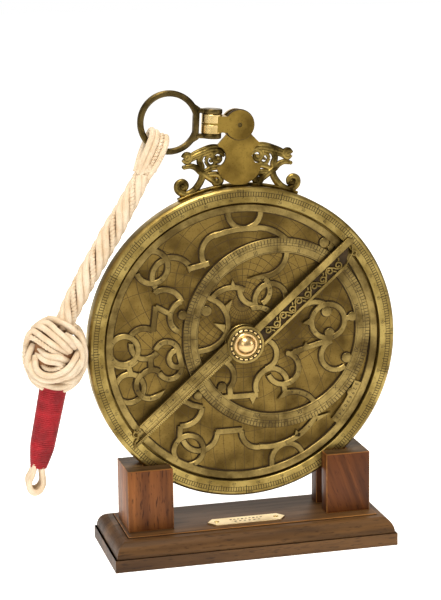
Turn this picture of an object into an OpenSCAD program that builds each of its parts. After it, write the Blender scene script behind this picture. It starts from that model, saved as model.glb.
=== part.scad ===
// Planispheric astrolabe of brass on a wooden display stand, with its suspension cord.
// X runs across the stand, Y from front to back and Z up. The origin is the centre of
// the underside of the base. The disc stands upright in the XZ plane and faces -Y.

/* [Stand] */
// Length of the base along X
base_w = 184.5; // [176:1:230]
// Depth of the base along Y
base_d = 71.5; // [64:0.5:100]
// Height of the base
base_h = 18.8; // [14:0.2:28]
// Height of the plain band round the foot of the base
band_h = 7.9; // [5:0.1:11]
// Distance from the band to the top platform of the base
mould_in = 10.6; // [8:0.1:13]
// Width of each support block along X
block_w = 29.2; // [24:0.1:36]
// Depth of each support block along Y
block_d = 33; // [26:0.5:40]
// Height of each support block
block_h = 39.6; // [30:0.1:52]
// Distance from the centre to a block's outer face
block_x = 79.7; // [76:0.1:88]
// How deep the saw cut runs into a block from its inner face
slot_depth = 16.5; // [13:0.1:20]
// Clearance each side of the disc in its slot
slot_gap = 0.6; // [0.2:0.1:1.5]
// Length of the name plate between its points
plate_w = 51.5; // [40:0.5:70]
// Width of the name plate
plate_d = 11.6; // [8:0.1:16]

/* [Disc] */
// Diameter of the disc
disk_d = 200; // [160:1:240]
// Thickness of the disc
disk_t = 10.6; // [9.6:0.1:13]
// Thickness of the back plate of the disc
back_t = 2.6; // [2:0.1:3.5]
// Radial width of the raised limb
limb_w = 9.8; // [8:0.1:13]
// Thickness of each inner plate
tympan_t = 1.3; // [0.8:0.05:1.5]
// Radius of the bolt that everything turns on
bolt_r = 3; // [2.5:0.1:4]
// Running clearance round the turning parts, on the radius
run_gap = 0.05; // [0.02:0.01:0.08]
// Clearance between faces that slide past each other
face_gap = 0.2; // [0.15:0.05:0.4]

/* [Star net and rule] */
// Thickness of the pierced star net
rete_t = 2.1; // [1.6:0.1:2.6]
// Clearance between the star net and the limb
rete_gap = 1.2; // [0.5:0.1:2]
// Radial width of the net's outer ring, for a disc 200 across
net_ring_w = 4.6; // [3.5:0.1:6]
// Outer radius of the ecliptic ring, for a disc 200 across
ecliptic_r = 61.7; // [50:0.1:63]
// Radial width of the ecliptic ring, for a disc 200 across
ecliptic_w = 9.5; // [7:0.1:11]
// Direction of the ecliptic ring's centre, anticlockwise from the right
ecliptic_turn = 12; // [0:1:30]
// Width of the straps of the net, for a disc 200 across
strap_w = 3.4; // [2.8:0.1:4]
// Radius of the hub of the rule
hub_r = 12.1; // [10.8:0.1:14]
// Thickness of the rule
rule_t = 1.8; // [1.4:0.1:3]
// How far the rule's points stop short of the disc's edge
rule_short = 4; // [3:0.5:8]
// Resting direction of the rule, anticlockwise from the right
rule_turn = 41; // [36:1:43]
// Reach of the back sight rule from the centre
alidade_reach = 86; // [60:1:87]
// Height of the sight vanes
vane_h = 13; // [8:0.5:18]

/* [Throne, shackle and ring] */
// Thickness of the pierced throne
throne_t = 4; // [3:0.1:5]
// Thickness of the plain shield on the throne
shield_t = 2.2; // [1.5:0.1:3]
// How far the throne sits to the right of centre
throne_x = -1.2; // [-2:0.1:2]
// Height of the shackle's pivot above the rim
pivot_up = 38.7; // [37:0.1:41]
// Radius of the pivot pin
pivot_r = 1.4; // [1:0.1:2]
// Radius of the shackle's two cheeks
cheek_r = 9.2; // [8.8:0.1:10]
// Thickness of each cheek
cheek_t = 2.8; // [2:0.1:3.5]
// Distance from the pivot to the near side of the shackle's barrel
barrel_out = 10.1; // [9.6:0.1:13.6]
// Radius of the barrel
barrel_r = 6.4; // [5.5:0.1:6.8]
// Length of the barrel
barrel_h = 11.8; // [11:0.1:14]
// Radius of the hinge pin in the barrel
hinge_r = 1.6; // [1.2:0.1:2.2]
// Angle of the shackle above level at rest
shackle_lift = 3.5; // [2:0.5:6]
// Outer radius of the ring
ring_r = 19.8; // [18:0.1:22]
// Width of the ring's square wire
wire_w = 3.8; // [3:0.1:4.5]

/* [Cord] */
// Diameter of the doubled cord below the ring
cord_d = 14; // [10:0.5:14]
// Thickness of the cord where it wraps the ring
eye_t = 3.3; // [2.5:0.1:3.6]

/* [Hidden] */
$fn = 64;
eps = 0.5;

// Stand
slot_w = disk_t + 2 * slot_gap;
disk_r = disk_d / 2;
slot_end = block_x - block_w + slot_depth;
disk_z = base_h + block_h + sqrt(disk_r * disk_r - slot_end * slot_end);
screw_r = 1.8;
screw_head_r = 3.6;
screw_up = 22;
screw_x = block_x - (block_w - slot_depth) / 2;
screw_y = (block_d + slot_w) / 4;
plate_t = 1;
plate_point = 4.3;
plate_at = [-2.6, -14.3];
plate_pin_in = 6.2;
plate_pin_r = 1;

// Depths along the disc's own axis: front is positive, the middle of the rim is zero
back_z = -disk_t / 2;
front_z = disk_t / 2;
floor_z = back_z + back_t;
rete_z = floor_z + 3 * tympan_t + face_gap;
rete_top = rete_z + rete_t;
rule_z = front_z + face_gap;
hub_t = rule_t + 0.4;
collar_z = rule_z + hub_t;
collar_t = 1;
collar_in = 8.2;
nut_z = collar_z + face_gap;
nut_r = collar_in - 0.6;
nut_flange = 1;
nut_bore = 1.5;
dome_base = 6.2;
dome_up = 4.4;
dome_r = (dome_base * dome_base + dome_up * dome_up) / (2 * dome_up);
alidade_t = 2.6;
alidade_z = back_z - face_gap - alidade_t;
washer_t = 0.9;
washer_z = alidade_z - face_gap - washer_t;
bolt_head_t = 3;

// Disc
limb_in = disk_r - limb_w;
tympan_r = limb_in - 0.2;
tab_w = 6;
tab_out = 3;
rivet_r = 1.4;
rivet_n = 12;

// Star net: straps are drawn for an outer radius of 89 and follow the real one
rete_r = limb_in - rete_gap;
net_k = rete_r / 89;
net_hub_r = 12.5 * net_k;
net_w = net_ring_w * net_k;
strap = strap_w * net_k;
ecl_out = ecliptic_r * net_k;
ecl_w = ecliptic_w * net_k;
net_over = 0.3;
ecliptic_off = rete_r - net_w - ecl_out + 0.1;
// Centre x, centre z, mean radius, first angle, last angle, 1 where the strap passes over
NET_ARCS = [
    [-58.5, 52.5, 10.2, -160, 100, 1], [-47.5, 46, 10.8, 86, 218, 0], [-45.5, 44.5, 13.3, 38, 108, 0],
    [-14.5, 59, 12, 88, 222, 0], [3, 8, 65.5, 84, 109, 1], [9, 47, 26.5, 40, 92, 0],
    [1.3, 84, 10.5, 180, 360, 0], [13.5, 57.5, 15.3, -97, 2, 0], [7.5, 33.5, 10, -60, 50, 1],
    [18, 27, 10.3, 0, 200, 0], [8, 34.5, 10.2, 165, 274, 0], [-7, 18.5, 17.8, 64, 142, 0],
    [9, 10, 12.5, 35, 108, 1], [-27, 14, 17, -86, 63, 0], [-17, -21, 10.5, -46, 62, 0],
    [19, -29, 11.3, 92, 200, 0], [26, -18.5, 10.3, -160, 80, 1], [17.5, -29, 11.3, -2, 94, 0],
    [12, -8.5, 9.8, -76, 62, 0], [32, -52, 17.6, 26, 108, 1], [61.5, -12, 10, 108, 306, 0],
    [56, 10.5, 11, 0, 360, 1], [47, 10, 13.5, 48, 120, 0], [-77.3, 0.7, 9, 0, 360, 1],
    [-77.3, 0.7, 10.5, 215, 320, 0], [-64.5, 4, 10, 52, 142, 0], [-37, 19.5, 10.5, 108, 240, 1],
    [-51, 26, 11.7, 18, 120, 0], [-63.5, 3.5, 9.2, 172, 322, 0], [-50, -3.5, 7.8, -12, 154, 1],
    [-43, -7, 5.5, 98, 302, 0], [-59.5, -21.5, 8.5, 58, 142, 0], [-48, -12.5, 7.3, 198, 356, 1],
    [-74.3, -24, 9.2, 0, 360, 0], [-61, -22.5, 9, 128, 306, 1], [-40, -39, 12.3, -102, -6, 0],
    [-37, -67.5, 9.7, 0, 360, 1], [-29.5, -57, 11.5, 198, 362, 0], [9, -58.5, 11, 174, 276, 0],
    [16, -32.5, 37, -100, -30, 1], [28.5, -79, 10.5, 14, 182, 0], [54.5, 61.5, 4.5, -70, 70, 0]];
// Start x and z, end x and z of the straight straps
NET_BARS = [
    [-35.5, 49.8, -22, 52.8], [-18.5, 28.5, -26, 33], [-25, -3, -32, -3.6], [-12, -12, -8, -8],
    [-14.5, -27.5, -19, -32.5], [-9.5, -27.5, -9, -35], [-17, -34.5, -7, -34.6], [-9, -34.6, 9, -34.6],
    [16.6, 0.5, 10, 1.5], [33, -8.2, 57, -2], [26, -28, 27.5, -35.5], [66.5, 11, 72.5, 12.5],
    [-58.6, 11.5, -56.5, 27.5], [-56.7, 27.3, -46.5, 21.5], [-42, -4, -40.2, -12.5],
    [-60.5, -5, -60.5, -13.5], [-75, -8, -73.2, -15], [-40.5, -34.2, -34, -38], [-34.5, -37.8, -27.5, -40],
    [-42.2, -51, -42.6, -59], [-19, -57, -1.5, -57], [18, -78.5, 18, -84], [-39.5, 20.5, -36, 18.5]];
// Centre x, centre z and radius of the round bosses
NET_KNOBS = [
    [-24, 22.4, 3.2], [-14.5, -27.5, 2.8], [57, 2.5, 3.3], [55, 16.8, 3.3], [72.3, 12.5, 3],
    [68.5, -14.5, 3.2], [-39.3, 20.8, 2.9], [-30.3, -32, 2.8], [71.8, -37.6, 2.9], [53.5, 61.5, 3.2]];
// Corners of the star points
NET_STARS = [
    [[2.5, 41.5], [13, 44.2], [13, 40.4]], [[-19.5, 14.3], [-11.8, 13], [-12.8, 7.4]],
    [[-7, 29], [-12.2, 25], [-10, 19.5]], [[5.3, -40.8], [3, -35], [8.2, -35]],
    [[27.5, -9], [36, -5.6], [36, -10]], [[41, -1.6], [38.2, -6.8], [43.4, -5.6]],
    [[22, -38.6], [28.4, -36.4], [26.4, -32.6]], [[38.8, 10.4], [46, 14.6], [46, 7.4]],
    [[-34.6, 47.4], [-36.6, 52.2], [-31.4, 51.6]], [[-7, 41.6], [-9, 35], [-4.6, 36.6]],
    [[34, -59.6], [32.6, -66], [38.6, -63.6]], [[58, -49.8], [48.8, -51.6], [48, -55.4]],
    [[-51.4, -26.4], [-57.4, -28.8], [-55.4, -32]], [[-58.6, 36.4], [-55.4, 39.6], [-53.6, 35.6]],
    [[-26.4, -42.6], [-30.4, -39.6], [-28.6, -37.8]]];

// Rule: straight arms either side of the centre line, seen from the front
rule_reach = disk_r - rule_short;
arm_in = -4.1;
arm_out = 0.5;
border_in = 7.7;
border_w = 1.7;
fret_from = hub_r + 0.6;
fret_to = rule_reach - 14;
fret_n = 7;
fret_w = 0.9;
fret_r = (border_in - arm_out) / 4 + 0.7;
scale_w = 9.2;

// Throne, drawn in heights above the rim and distances from its own centre line
throne_z = back_z;
throne_top = throne_z + throne_t;
shield_z = throne_top;
shield_top = shield_z + shield_t;
foot_t = 1.6;
foot_half = 22.5;
seat_gap = 0.06;
head_r = 8;
bowl_r = 14.6;
bowl_up = 15.6;
waist_r = 6.5;
waist_x = 14.9;
waist_up = 19.3;
// Centre x, height above the rim, mean radius, first angle, last angle, width: one side's scrolls
SCROLL_ARCS = [
    [-35.3, 0.3, 3.6, 10, 290, 3.2], [-35.8, 9.4, 13.5, 262, 358, 3.6], [-13.5, 4.3, 2.9, -125, 150, 2.6],
    [-14.5, 14, 13.1, 210, 272, 3.2], [-16.9, 16.3, 3.2, 0, 360, 1.9], [-9, -24, 46.6, 94, 117, 4.8],
    [-13.4, 18.6, 4.4, -75, 100, 3.2]];
// Start x, start height, end x, end height, width: the straight stems
SCROLL_BARS = [
    [-22.8, 7.6, -31.4, 13.3, 3.2], [-23.2, 9, -17.4, 6.4, 2.6], [-22.6, 8.4, -21.4, 19.5, 2.8],
    [-15.4, 13.4, -9, 11.5, 2.4], [-10.2, 6.4, -8, 8, 2.6]];
// Centre x, height and radius of the volute eyes
SCROLL_EYES = [[-35, 0.2, 2.1], [-13.4, 4.2, 1.6], [-31.2, 18.2, 3.4], [-31.6, 13.4, 2.1],
               [-12.2, 17.6, 1.9], [-17.2, 6.3, 1.6]];

// Shackle and ring, along the shackle's own arm
pivot_z = disk_z + disk_r + pivot_up;
cheek_front = shield_top + face_gap;
cheek_back = throne_z - face_gap - cheek_t;
shackle_mid = (cheek_front + cheek_t + cheek_back) / 2;
web_h = 10;
web_in = head_r + 0.7;
lug_gap = 0.15;
lug_t = 3.2;
lug_w = 10;
bar_out = ring_r - 0.8;
bar_in = bar_out - wire_w;
bar_half = barrel_h / 2 + lug_gap + lug_t + 0.4;
barrel_x = barrel_out + barrel_r;
ring_out = barrel_x + barrel_r + 1.8 + bar_out;
wire_mid = ring_r - wire_w / 2;

// Cord: the eye grips the ring, the legs turn on the ball below it
eye_turn = 246 + shackle_lift;
eye_span = 35;
ball_out = 30;
ball_turn = 242 + shackle_lift;
ball_r = 5;
ball_gap = 0.2;
ROUTE = [[-61.5, 2.2, 243], [-66, 2.2, 235], [-71, 2, 226.5], [-76, 2, 218], [-81.5, 2, 209],
         [-87, 1.8, 200], [-92.5, 1.6, 191], [-98, 1.4, 182], [-103.5, 1.2, 172.5], [-108.5, 1, 163.5],
         [-112.5, 1, 155]];
TUBE_R = [4.6, 5.2, 5.8, 6.4, 7, 7, 7, 7, 7, 6.8, 6.4];
knot_at = [-120, 1, 133.5];
knot_half = [17.8, 15, 22.5];
whip_from = [-121.7, 1, 113];
whip_to = [-133, 1, 61.5];
whip_r = 8.2;
whip_end_r = 6.2;
tail_to = [-134.8, 1, 43.5];
tail_r = 6;

function along(p, q) = norm(q - p);
function lean(p, q) = atan2(q[0] - p[0], q[2] - p[2]);

// Puts a shape drawn in XY onto the disc's plane at depth z, seen from the front
module on_disc(z = 0) translate([0, 0, disk_z]) rotate([90, 0, 0]) translate([0, 0, z]) children();

module ring_band(r_out, r_in, h) difference() {
    cylinder(r = r_out, h = h);
    translate([0, 0, -eps]) cylinder(r = r_in, h = h + 2 * eps);
}

module arc_band(r, a0, a1, w, h) rotate(a0) rotate_extrude(angle = a1 - a0)
    translate([r - w / 2, 0]) square([w, h]);

module stem(p, w, h) translate([p[0], p[1], 0]) rotate(atan2(p[3] - p[1], p[2] - p[0]))
    translate([0, -w / 2, 0]) cube([norm([p[2] - p[0], p[3] - p[1]]), w, h]);

// ---- Stand ----

// Half outline of the base: plain band, small step, rounded moulding, second step
module base_outline(half) {
    step = 1.3;
    rise = 0.4;
    lip = 0.7;
    round_w = mould_in - step - 0.5;
    round_h = base_h - lip - band_h - rise;
    side = concat([[half, 0], [half, band_h], [half - step, band_h], [half - step, band_h + rise]],
        [for (a = [10 : 10 : 90]) [half - step - round_w * (1 - cos(a)), band_h + rise + round_h * sin(a)]],
        [[half - mould_in, base_h - lip], [half - mould_in, base_h]]);
    polygon(concat(side, [for (i = [len(side) - 1 : -1 : 0]) [-side[i][0], side[i][1]]]));
}

module at_screws() for (sx = [-1, 1], sy = [-1, 1])
    translate([sx * screw_x, sy * screw_y, 0]) children();

module at_plate_pins() for (s = [-1, 1])
    translate([plate_at[0] + s * (plate_w / 2 - plate_pin_in), plate_at[1], base_h]) children();

module base_board() color("#5b3f2b") difference() {
    intersection() {
        translate([0, base_d / 2, 0]) rotate([90, 0, 0]) linear_extrude(base_d) base_outline(base_w / 2);
        translate([-base_w / 2, 0, 0]) rotate([90, 0, 90]) linear_extrude(base_w) base_outline(base_d / 2);
    }
    at_screws() {
        cylinder(r = screw_r, h = base_h + eps);
        translate([0, 0, -eps]) cylinder(r = screw_head_r, h = 3.5 + eps);
    }
    at_plate_pins() translate([0, 0, -5]) cylinder(r = plate_pin_r, h = 5 + eps);
}

module support_block(side) color("#8a4b30") difference() {
    translate([side > 0 ? block_x - block_w : -block_x, -block_d / 2, base_h])
        cube([block_w, block_d, block_h]);
    translate([side > 0 ? block_x - block_w - eps : -slot_end, -slot_w / 2, base_h - eps])
        cube([slot_depth + eps, slot_w, block_h + 2 * eps]);
    at_screws() cylinder(r = screw_r, h = base_h + screw_up);
}

module left_block() support_block(-1);
module right_block() support_block(1);

module block_screws() color("#b9b3a4") at_screws() {
    translate([0, 0, 1]) cylinder(r = screw_head_r, h = 2.5);
    translate([0, 0, 1]) cylinder(r = screw_r, h = base_h + screw_up - 1);
}

module nameplate() color("#e9dca8") difference() {
    translate([plate_at[0], plate_at[1], base_h]) linear_extrude(plate_t)
        polygon([for (s = [-1, 1], p = [[0, -s], [1, -s], [2, 0]]) [-s * (p[0] == 0 ? 0
            : plate_w / 2 - (p[0] == 1 ? plate_point : 0)), p[1] * plate_d / 2]]);
    at_plate_pins() translate([0, 0, -eps]) cylinder(r = plate_pin_r, h = plate_t + 2 * eps);
}

module nameplate_pins() color("#c9b060") at_plate_pins() {
    translate([0, 0, -5]) cylinder(r = plate_pin_r, h = 5 + plate_t);
    translate([0, 0, plate_t]) cylinder(r = 1.7, h = 0.5);
}

// ---- Disc ----

module at_rivets() for (i = [0 : rivet_n - 1]) rotate((i + 0.5) * 360 / rivet_n)
    translate([disk_r - limb_w / 2, 0, 0]) children();

module at_throne_pins() for (a = [80, 100]) rotate(a) translate([disk_r, 0, back_z + 1.3])
    rotate([0, 90, 0]) children();

module mater_plate() color("#8c7a3c") on_disc() difference() {
    translate([0, 0, back_z]) cylinder(r = disk_r, h = back_t);
    translate([0, 0, back_z - eps]) cylinder(r = bolt_r, h = back_t + 2 * eps);
    translate([0, 0, back_z - eps]) at_rivets() cylinder(r = rivet_r, h = back_t + 2 * eps);
    at_throne_pins() translate([0, 0, -6]) cylinder(r = 1, h = 6 + eps);
}

module limb_ring() color("#a08e48") on_disc() difference() {
    translate([0, 0, floor_z]) ring_band(disk_r, limb_in, front_z - floor_z);
    translate([0, 0, floor_z - eps]) at_rivets() cylinder(r = rivet_r, h = 3 + eps);
    translate([-tab_w / 2 - 0.1, -limb_in - tab_out - 0.2, floor_z - eps])
        cube([tab_w + 0.2, tab_out + 2, 3 * tympan_t + eps]);
}

module limb_rivets() color("#8c7a3c") on_disc() at_rivets() {
    translate([0, 0, back_z]) cylinder(r = rivet_r, h = back_t + 3);
    translate([0, 0, back_z - 0.6]) cylinder(r = rivet_r + 1, h = 0.6);
}

module tympan(layer) on_disc(floor_z + layer * tympan_t) difference() {
    union() {
        cylinder(r = tympan_r, h = tympan_t);
        translate([-tab_w / 2, -tympan_r - tab_out, 0]) cube([tab_w, tab_out + 2, tympan_t]);
    }
    translate([0, 0, -eps]) cylinder(r = bolt_r + run_gap, h = tympan_t + 2 * eps);
}

module tympan_rear() color("#75652f") tympan(0);
module tympan_middle() color("#7d6d33") tympan(1);
module tympan_front() color("#857436") tympan(2);

module centre_bolt() color("#9a8844") on_disc() {
    translate([0, 0, washer_z]) cylinder(r = bolt_r, h = nut_z + nut_bore - washer_z);
    difference() {
        translate([0, 0, washer_z - bolt_head_t]) cylinder(r = 6, h = bolt_head_t);
        translate([-7, -0.6, washer_z - bolt_head_t - eps]) cube([14, 1.2, 1 + eps]);
    }
}

module back_washer() color("#a6954e") on_disc(washer_z) ring_band(8, bolt_r, washer_t);

module dome_nut() color("#d8c589") on_disc(nut_z) difference() {
    union() {
        cylinder(r = nut_r, h = nut_flange);
        translate([0, 0, nut_flange]) intersection() {
            translate([0, 0, dome_up - dome_r]) sphere(r = dome_r);
            cylinder(r = dome_base + 0.5, h = dome_up + 1);
        }
    }
    translate([0, 0, -eps]) cylinder(r = bolt_r, h = nut_bore + eps);
}

// ---- Star net ----

module rete_plate() color("#a9975a") on_disc(rete_z) difference() {
    union() {
        ring_band(rete_r, rete_r - net_w, rete_t);
        difference() {
            net_straps();
            translate([0, 0, -eps]) ring_band(rete_r + 40, rete_r - 1, rete_t + 2 * eps);
        }
    }
    translate([0, 0, -eps]) cylinder(r = bolt_r + run_gap, h = rete_t + 2 * eps);
}

// Everything inside the net's outer ring; straps may run past it and are cut off there
module net_straps() {
    rotate(ecliptic_turn) translate([ecliptic_off, 0, 0])
        ring_band(ecl_out, ecl_out - ecl_w, rete_t);
    cylinder(r = net_hub_r, h = rete_t);
    for (a = NET_ARCS) translate([a[0] * net_k, a[1] * net_k, 0])
        arc_band(a[2] * net_k, a[3], a[4], strap, rete_t - (1 - a[5]) * net_over);
    for (b = NET_BARS) stem(b * net_k, strap, rete_t - net_over / 2);
    for (k = NET_KNOBS) translate([k[0] * net_k, k[1] * net_k, 0])
        cylinder(r = k[2] * net_k, h = rete_t - net_over / 3);
    for (s = NET_STARS) linear_extrude(rete_t - net_over / 2) polygon(s * net_k);
    arc_band(82 * net_k, -43, -22, 5 * net_k, rete_t - net_over / 3);
}

// ---- Rule ----

module rule_bar() color("#b3a25c") on_disc(rule_z) difference() {
    union() {
        cylinder(r = hub_r, h = hub_t);
        translate([0, 0, rete_top + face_gap - rule_z])
            cylinder(r = 9, h = rule_z - rete_top - face_gap + eps);
        rotate(rule_turn) {
            // Plain arm and border of the pierced half, below and right of the centre line
            translate([0, -arm_out, 0]) cube([rule_reach, arm_out - arm_in, rule_t]);
            translate([0, -border_in - border_w, 0]) cube([fret_to, border_w, rule_t]);
            pitch = (fret_to - fret_from) / fret_n;
            for (i = [0 : fret_n - 1]) translate([fret_from + (i + 0.5) * pitch, 0, 0]) {
                translate([-pitch / 4, -arm_out - fret_r + 0.1, 0])
                    ring_band(fret_r, fret_r - fret_w, rule_t - 0.4);
                translate([pitch / 4, -border_in + fret_r - 0.1, 0])
                    ring_band(fret_r, fret_r - fret_w, rule_t - 0.4);
            }
            translate([rule_reach - 1.4, -1.4, 0]) rotate(-146)
                translate([0, -0.9, 0]) cube([14.6, 1.8, rule_t - 0.3]);
            // Engraved half, above and left of the centre line
            rotate(180) translate([0, -scale_w - 0.4, 0]) cube([fret_to + 2, scale_w, rule_t]);
            rotate(180) translate([0, -2.2, 0]) cube([rule_reach - 1, 1.8, rule_t]);
            rotate(180) translate([rule_reach - 1.6, -1.6, 0]) rotate(-152)
                translate([0, -0.9, 0]) cube([12, 1.8, rule_t - 0.3]);
        }
    }
    translate([0, 0, rete_top - rule_z]) cylinder(r = bolt_r + run_gap, h = rule_z - rete_top + hub_t + 1);
}

module hub_collar() color("#c4b26c") on_disc(collar_z) difference() {
    ring_band(10.9, collar_in, collar_t);
    for (i = [0 : 17]) rotate(i * 20 + 4) translate([0, 0, collar_t - 0.5])
        arc_band(9.5, 0, 12, 1.6, 0.5 + eps);
}

// ---- Back sight rule ----

alidade_turn = -38;
vane_out = alidade_reach - 14;

module at_vanes() for (s = [-1, 1]) translate([s * vane_out, 0, 0]) children();

module alidade_bar() color("#a3924f") on_disc(alidade_z) difference() {
    union() {
        cylinder(r = 11, h = alidade_t);
        rotate(alidade_turn) intersection() {
            translate([-alidade_reach, -6, 0]) cube([2 * alidade_reach, 12, alidade_t]);
            cylinder(r = alidade_reach, h = alidade_t);
        }
    }
    translate([0, 0, -eps]) cylinder(r = bolt_r + run_gap, h = alidade_t + 2 * eps);
    rotate(alidade_turn) at_vanes() for (y = [-3, 3]) translate([2.6, y, -eps])
        cylinder(r = 0.8, h = alidade_t + 2 * eps);
}

module sight_vane(side) on_disc(alidade_z) rotate(alidade_turn) translate([side * vane_out, 0, 0])
    difference() {
        union() {
            translate([-1, -5, -vane_h]) cube([2, 10, vane_h]);
            translate([side > 0 ? -1 : -1, -5, -1.2]) cube([6, 10, 1.2]);
        }
        translate([-2, 0, -vane_h * 0.7]) rotate([0, 90, 0]) cylinder(r = 0.7, h = 4);
        for (y = [-3, 3]) translate([2.6, y, -2]) cylinder(r = 0.8, h = 3);
    }

module sight_vane_upper() color("#b09f58") sight_vane(1);
module sight_vane_lower() color("#b09f58") sight_vane(-1);

module vane_rivets() color("#8c7a3c") on_disc(alidade_z) rotate(alidade_turn) at_vanes()
    for (y = [-3, 3]) translate([2.6, y, 0]) {
        translate([0, 0, -1.2]) cylinder(r = 0.8, h = 1.2 + alidade_t);
        translate([0, 0, -1.7]) cylinder(r = 1.4, h = 0.5);
    }

// ---- Throne ----

module on_throne(z) on_disc(z) translate([throne_x, disk_r, 0]) children();

module shield_face(h, grow) difference() {
    union() {
        translate([0, bowl_up, 0]) cylinder(r = bowl_r + grow, h = h);
        linear_extrude(h) polygon([[-13.6 - grow, 26.6], [-6.2 - grow, 34.4], [6.2 + grow, 34.4],
            [13.6 + grow, 26.6], [12.6, 24.8], [9, 14], [-9, 14], [-12.6, 24.8]]);
        translate([0, pivot_up, 0]) cylinder(r = head_r, h = h);
    }
    for (s = [-1, 1]) translate([s * waist_x, waist_up, -eps])
        cylinder(r = waist_r - grow, h = h + 2 * eps);
    translate([0, pivot_up, -eps]) cylinder(r = pivot_r, h = h + 2 * eps);
}

module throne_frame() color("#6e6132") on_throne(throne_z) difference() {
    union() {
        translate([-throne_x, -disk_r, 0])
            arc_band(disk_r + foot_t / 2, 90 - foot_half, 90 + foot_half, foot_t, throne_t);
        intersection() {
            shield_face(throne_t, -0.8);
            translate([-20, foot_t / 2, -eps]) cube([40, 60, throne_t + 2 * eps]);
        }
        translate([-3, 0.4, 0]) cube([6, 4, throne_t]);
        for (s = [0, 1]) mirror([s, 0, 0]) {
            for (a = SCROLL_ARCS) translate([a[0], a[1], 0])
                arc_band(a[2], a[3], a[4], a[5], throne_t - 0.6);
            for (b = SCROLL_BARS) stem(b, b[4], throne_t - 0.9);
            for (e = SCROLL_EYES) translate([e[0], e[1], 0]) cylinder(r = e[2], h = throne_t);
        }
    }
    translate([-throne_x, -disk_r, -throne_z]) at_throne_pins() translate([0, 0, -1])
        cylinder(r = 1, h = 20);
    translate([-throne_x, -disk_r, -eps]) cylinder(r = disk_r + seat_gap, h = throne_t + 2 * eps);
    at_shield_rivets() translate([0, 0, -eps]) cylinder(r = 1.2, h = throne_t + 2 * eps);
}

module at_shield_rivets() for (up = [11, 24]) translate([0, up, 0]) children();

module throne_pins() color("#8c7a3c") on_disc() at_throne_pins() translate([0, 0, -6])
    cylinder(r = 1, h = 6 + foot_t);

module throne_shield() color("#9c8b48") on_throne(shield_z) difference() {
    shield_face(shield_t, 0);
    at_shield_rivets() translate([0, 0, -eps]) cylinder(r = 1.2, h = 1.2 + eps);
}

module shield_rivets() color("#8c7a3c") on_throne(throne_z) at_shield_rivets() {
    cylinder(r = 1.2, h = throne_t + 1.2);
    translate([0, 0, -0.6]) cylinder(r = 2.2, h = 0.6);
}

module pivot_pin() color("#7a6a34") on_throne(0) translate([0, pivot_up, 0]) {
    translate([0, 0, cheek_back]) cylinder(r = pivot_r, h = cheek_front + cheek_t - 0.7 - cheek_back);
    translate([0, 0, cheek_back - 0.1 - 0.9]) cylinder(r = 2.6, h = 0.9);
    translate([0, 0, cheek_back - 0.2]) cylinder(r = pivot_r, h = 0.4);
}

// ---- Shackle and ring: drawn with the arm along +X, then laid to the left ----

module on_arm() on_throne(shackle_mid) translate([0, pivot_up, 0]) rotate(180 - shackle_lift) children();

module shackle() color("#94833f") on_arm() difference() {
    union() {
        for (z = [cheek_front, cheek_back]) translate([0, 0, z - shackle_mid])
            cylinder(r = cheek_r, h = cheek_t);
        translate([4, -web_h / 2, cheek_back - shackle_mid])
            cube([barrel_x - 4, web_h, cheek_front + cheek_t - cheek_back]);
        translate([barrel_x, barrel_h / 2, 0]) rotate([90, 0, 0]) cylinder(r = barrel_r, h = barrel_h);
    }
    translate([0, 0, throne_z - face_gap - shackle_mid])
        cylinder(r = web_in, h = cheek_front - throne_z + face_gap);
    translate([0, 0, cheek_back - shackle_mid - eps])
        cylinder(r = pivot_r + run_gap, h = cheek_front + cheek_t - cheek_back + 2 * eps);
    translate([barrel_x, barrel_h / 2 + eps, 0]) rotate([90, 0, 0])
        cylinder(r = hinge_r + run_gap, h = barrel_h + 2 * eps);
}

module ring_loop() color("#4f4526") on_arm() difference() {
    union() {
        translate([ring_out, 0, -wire_w / 2]) difference() {
            ring_band(ring_r, ring_r - wire_w, wire_w);
            translate([-2 * ring_r - bar_in, -ring_r, -eps]) cube([2 * ring_r, 2 * ring_r, wire_w + 2 * eps]);
        }
        translate([ring_out, 0, -wire_w / 2]) linear_extrude(wire_w) polygon([[-bar_out, -bar_half],
            [-bar_in, -bar_half - 2.6], [-bar_in, bar_half + 2.6], [-bar_out, bar_half]]);
        for (s = [-1, 1]) translate([0, s * (barrel_h / 2 + lug_gap + lug_t / 2), 0]) {
            translate([barrel_x, lug_t / 2, 0]) rotate([90, 0, 0]) cylinder(r = barrel_r, h = lug_t);
            translate([barrel_x, -lug_t / 2, -lug_w / 2])
                cube([ring_out - bar_out + wire_w - barrel_x, lug_t, lug_w]);
        }
    }
    translate([barrel_x, 20, 0]) rotate([90, 0, 0]) cylinder(r = hinge_r, h = 40);
}

module ring_pin() color("#5c5130") on_arm() translate([barrel_x, 0, 0]) rotate([90, 0, 0])
    cylinder(r = hinge_r, h = barrel_h + 2 * lug_gap + 2 * lug_t, center = true);

// ---- Cord ----

module cord_eye() color("#ead2ac") on_arm() translate([ring_out, 0, 0]) rotate(-180 + shackle_lift) {
    turn = eye_turn - shackle_lift;
    rotate(turn - eye_span / 2) rotate_extrude(angle = eye_span) translate([wire_mid, 0]) difference() {
        circle(r = wire_w / sqrt(2) + 0.4 + eye_t);
        circle(r = wire_w / sqrt(2) + 0.4);
    }
    rotate(ball_turn - shackle_lift) translate([ring_r + 1.6, 0, 0]) rotate([0, 90, 0])
        cylinder(r = 4.6, h = ball_out - ball_r - ball_gap - ring_r - 1.6);
}

// Ball on which the hanging cord turns, so that it keeps its own direction as the ring moves
module cord_neck() color("#ead2ac") on_arm() translate([ring_out, 0, 0])
    rotate(-180 + ball_turn) translate([ball_out, 0, 0]) sphere(r = ball_r);

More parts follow.
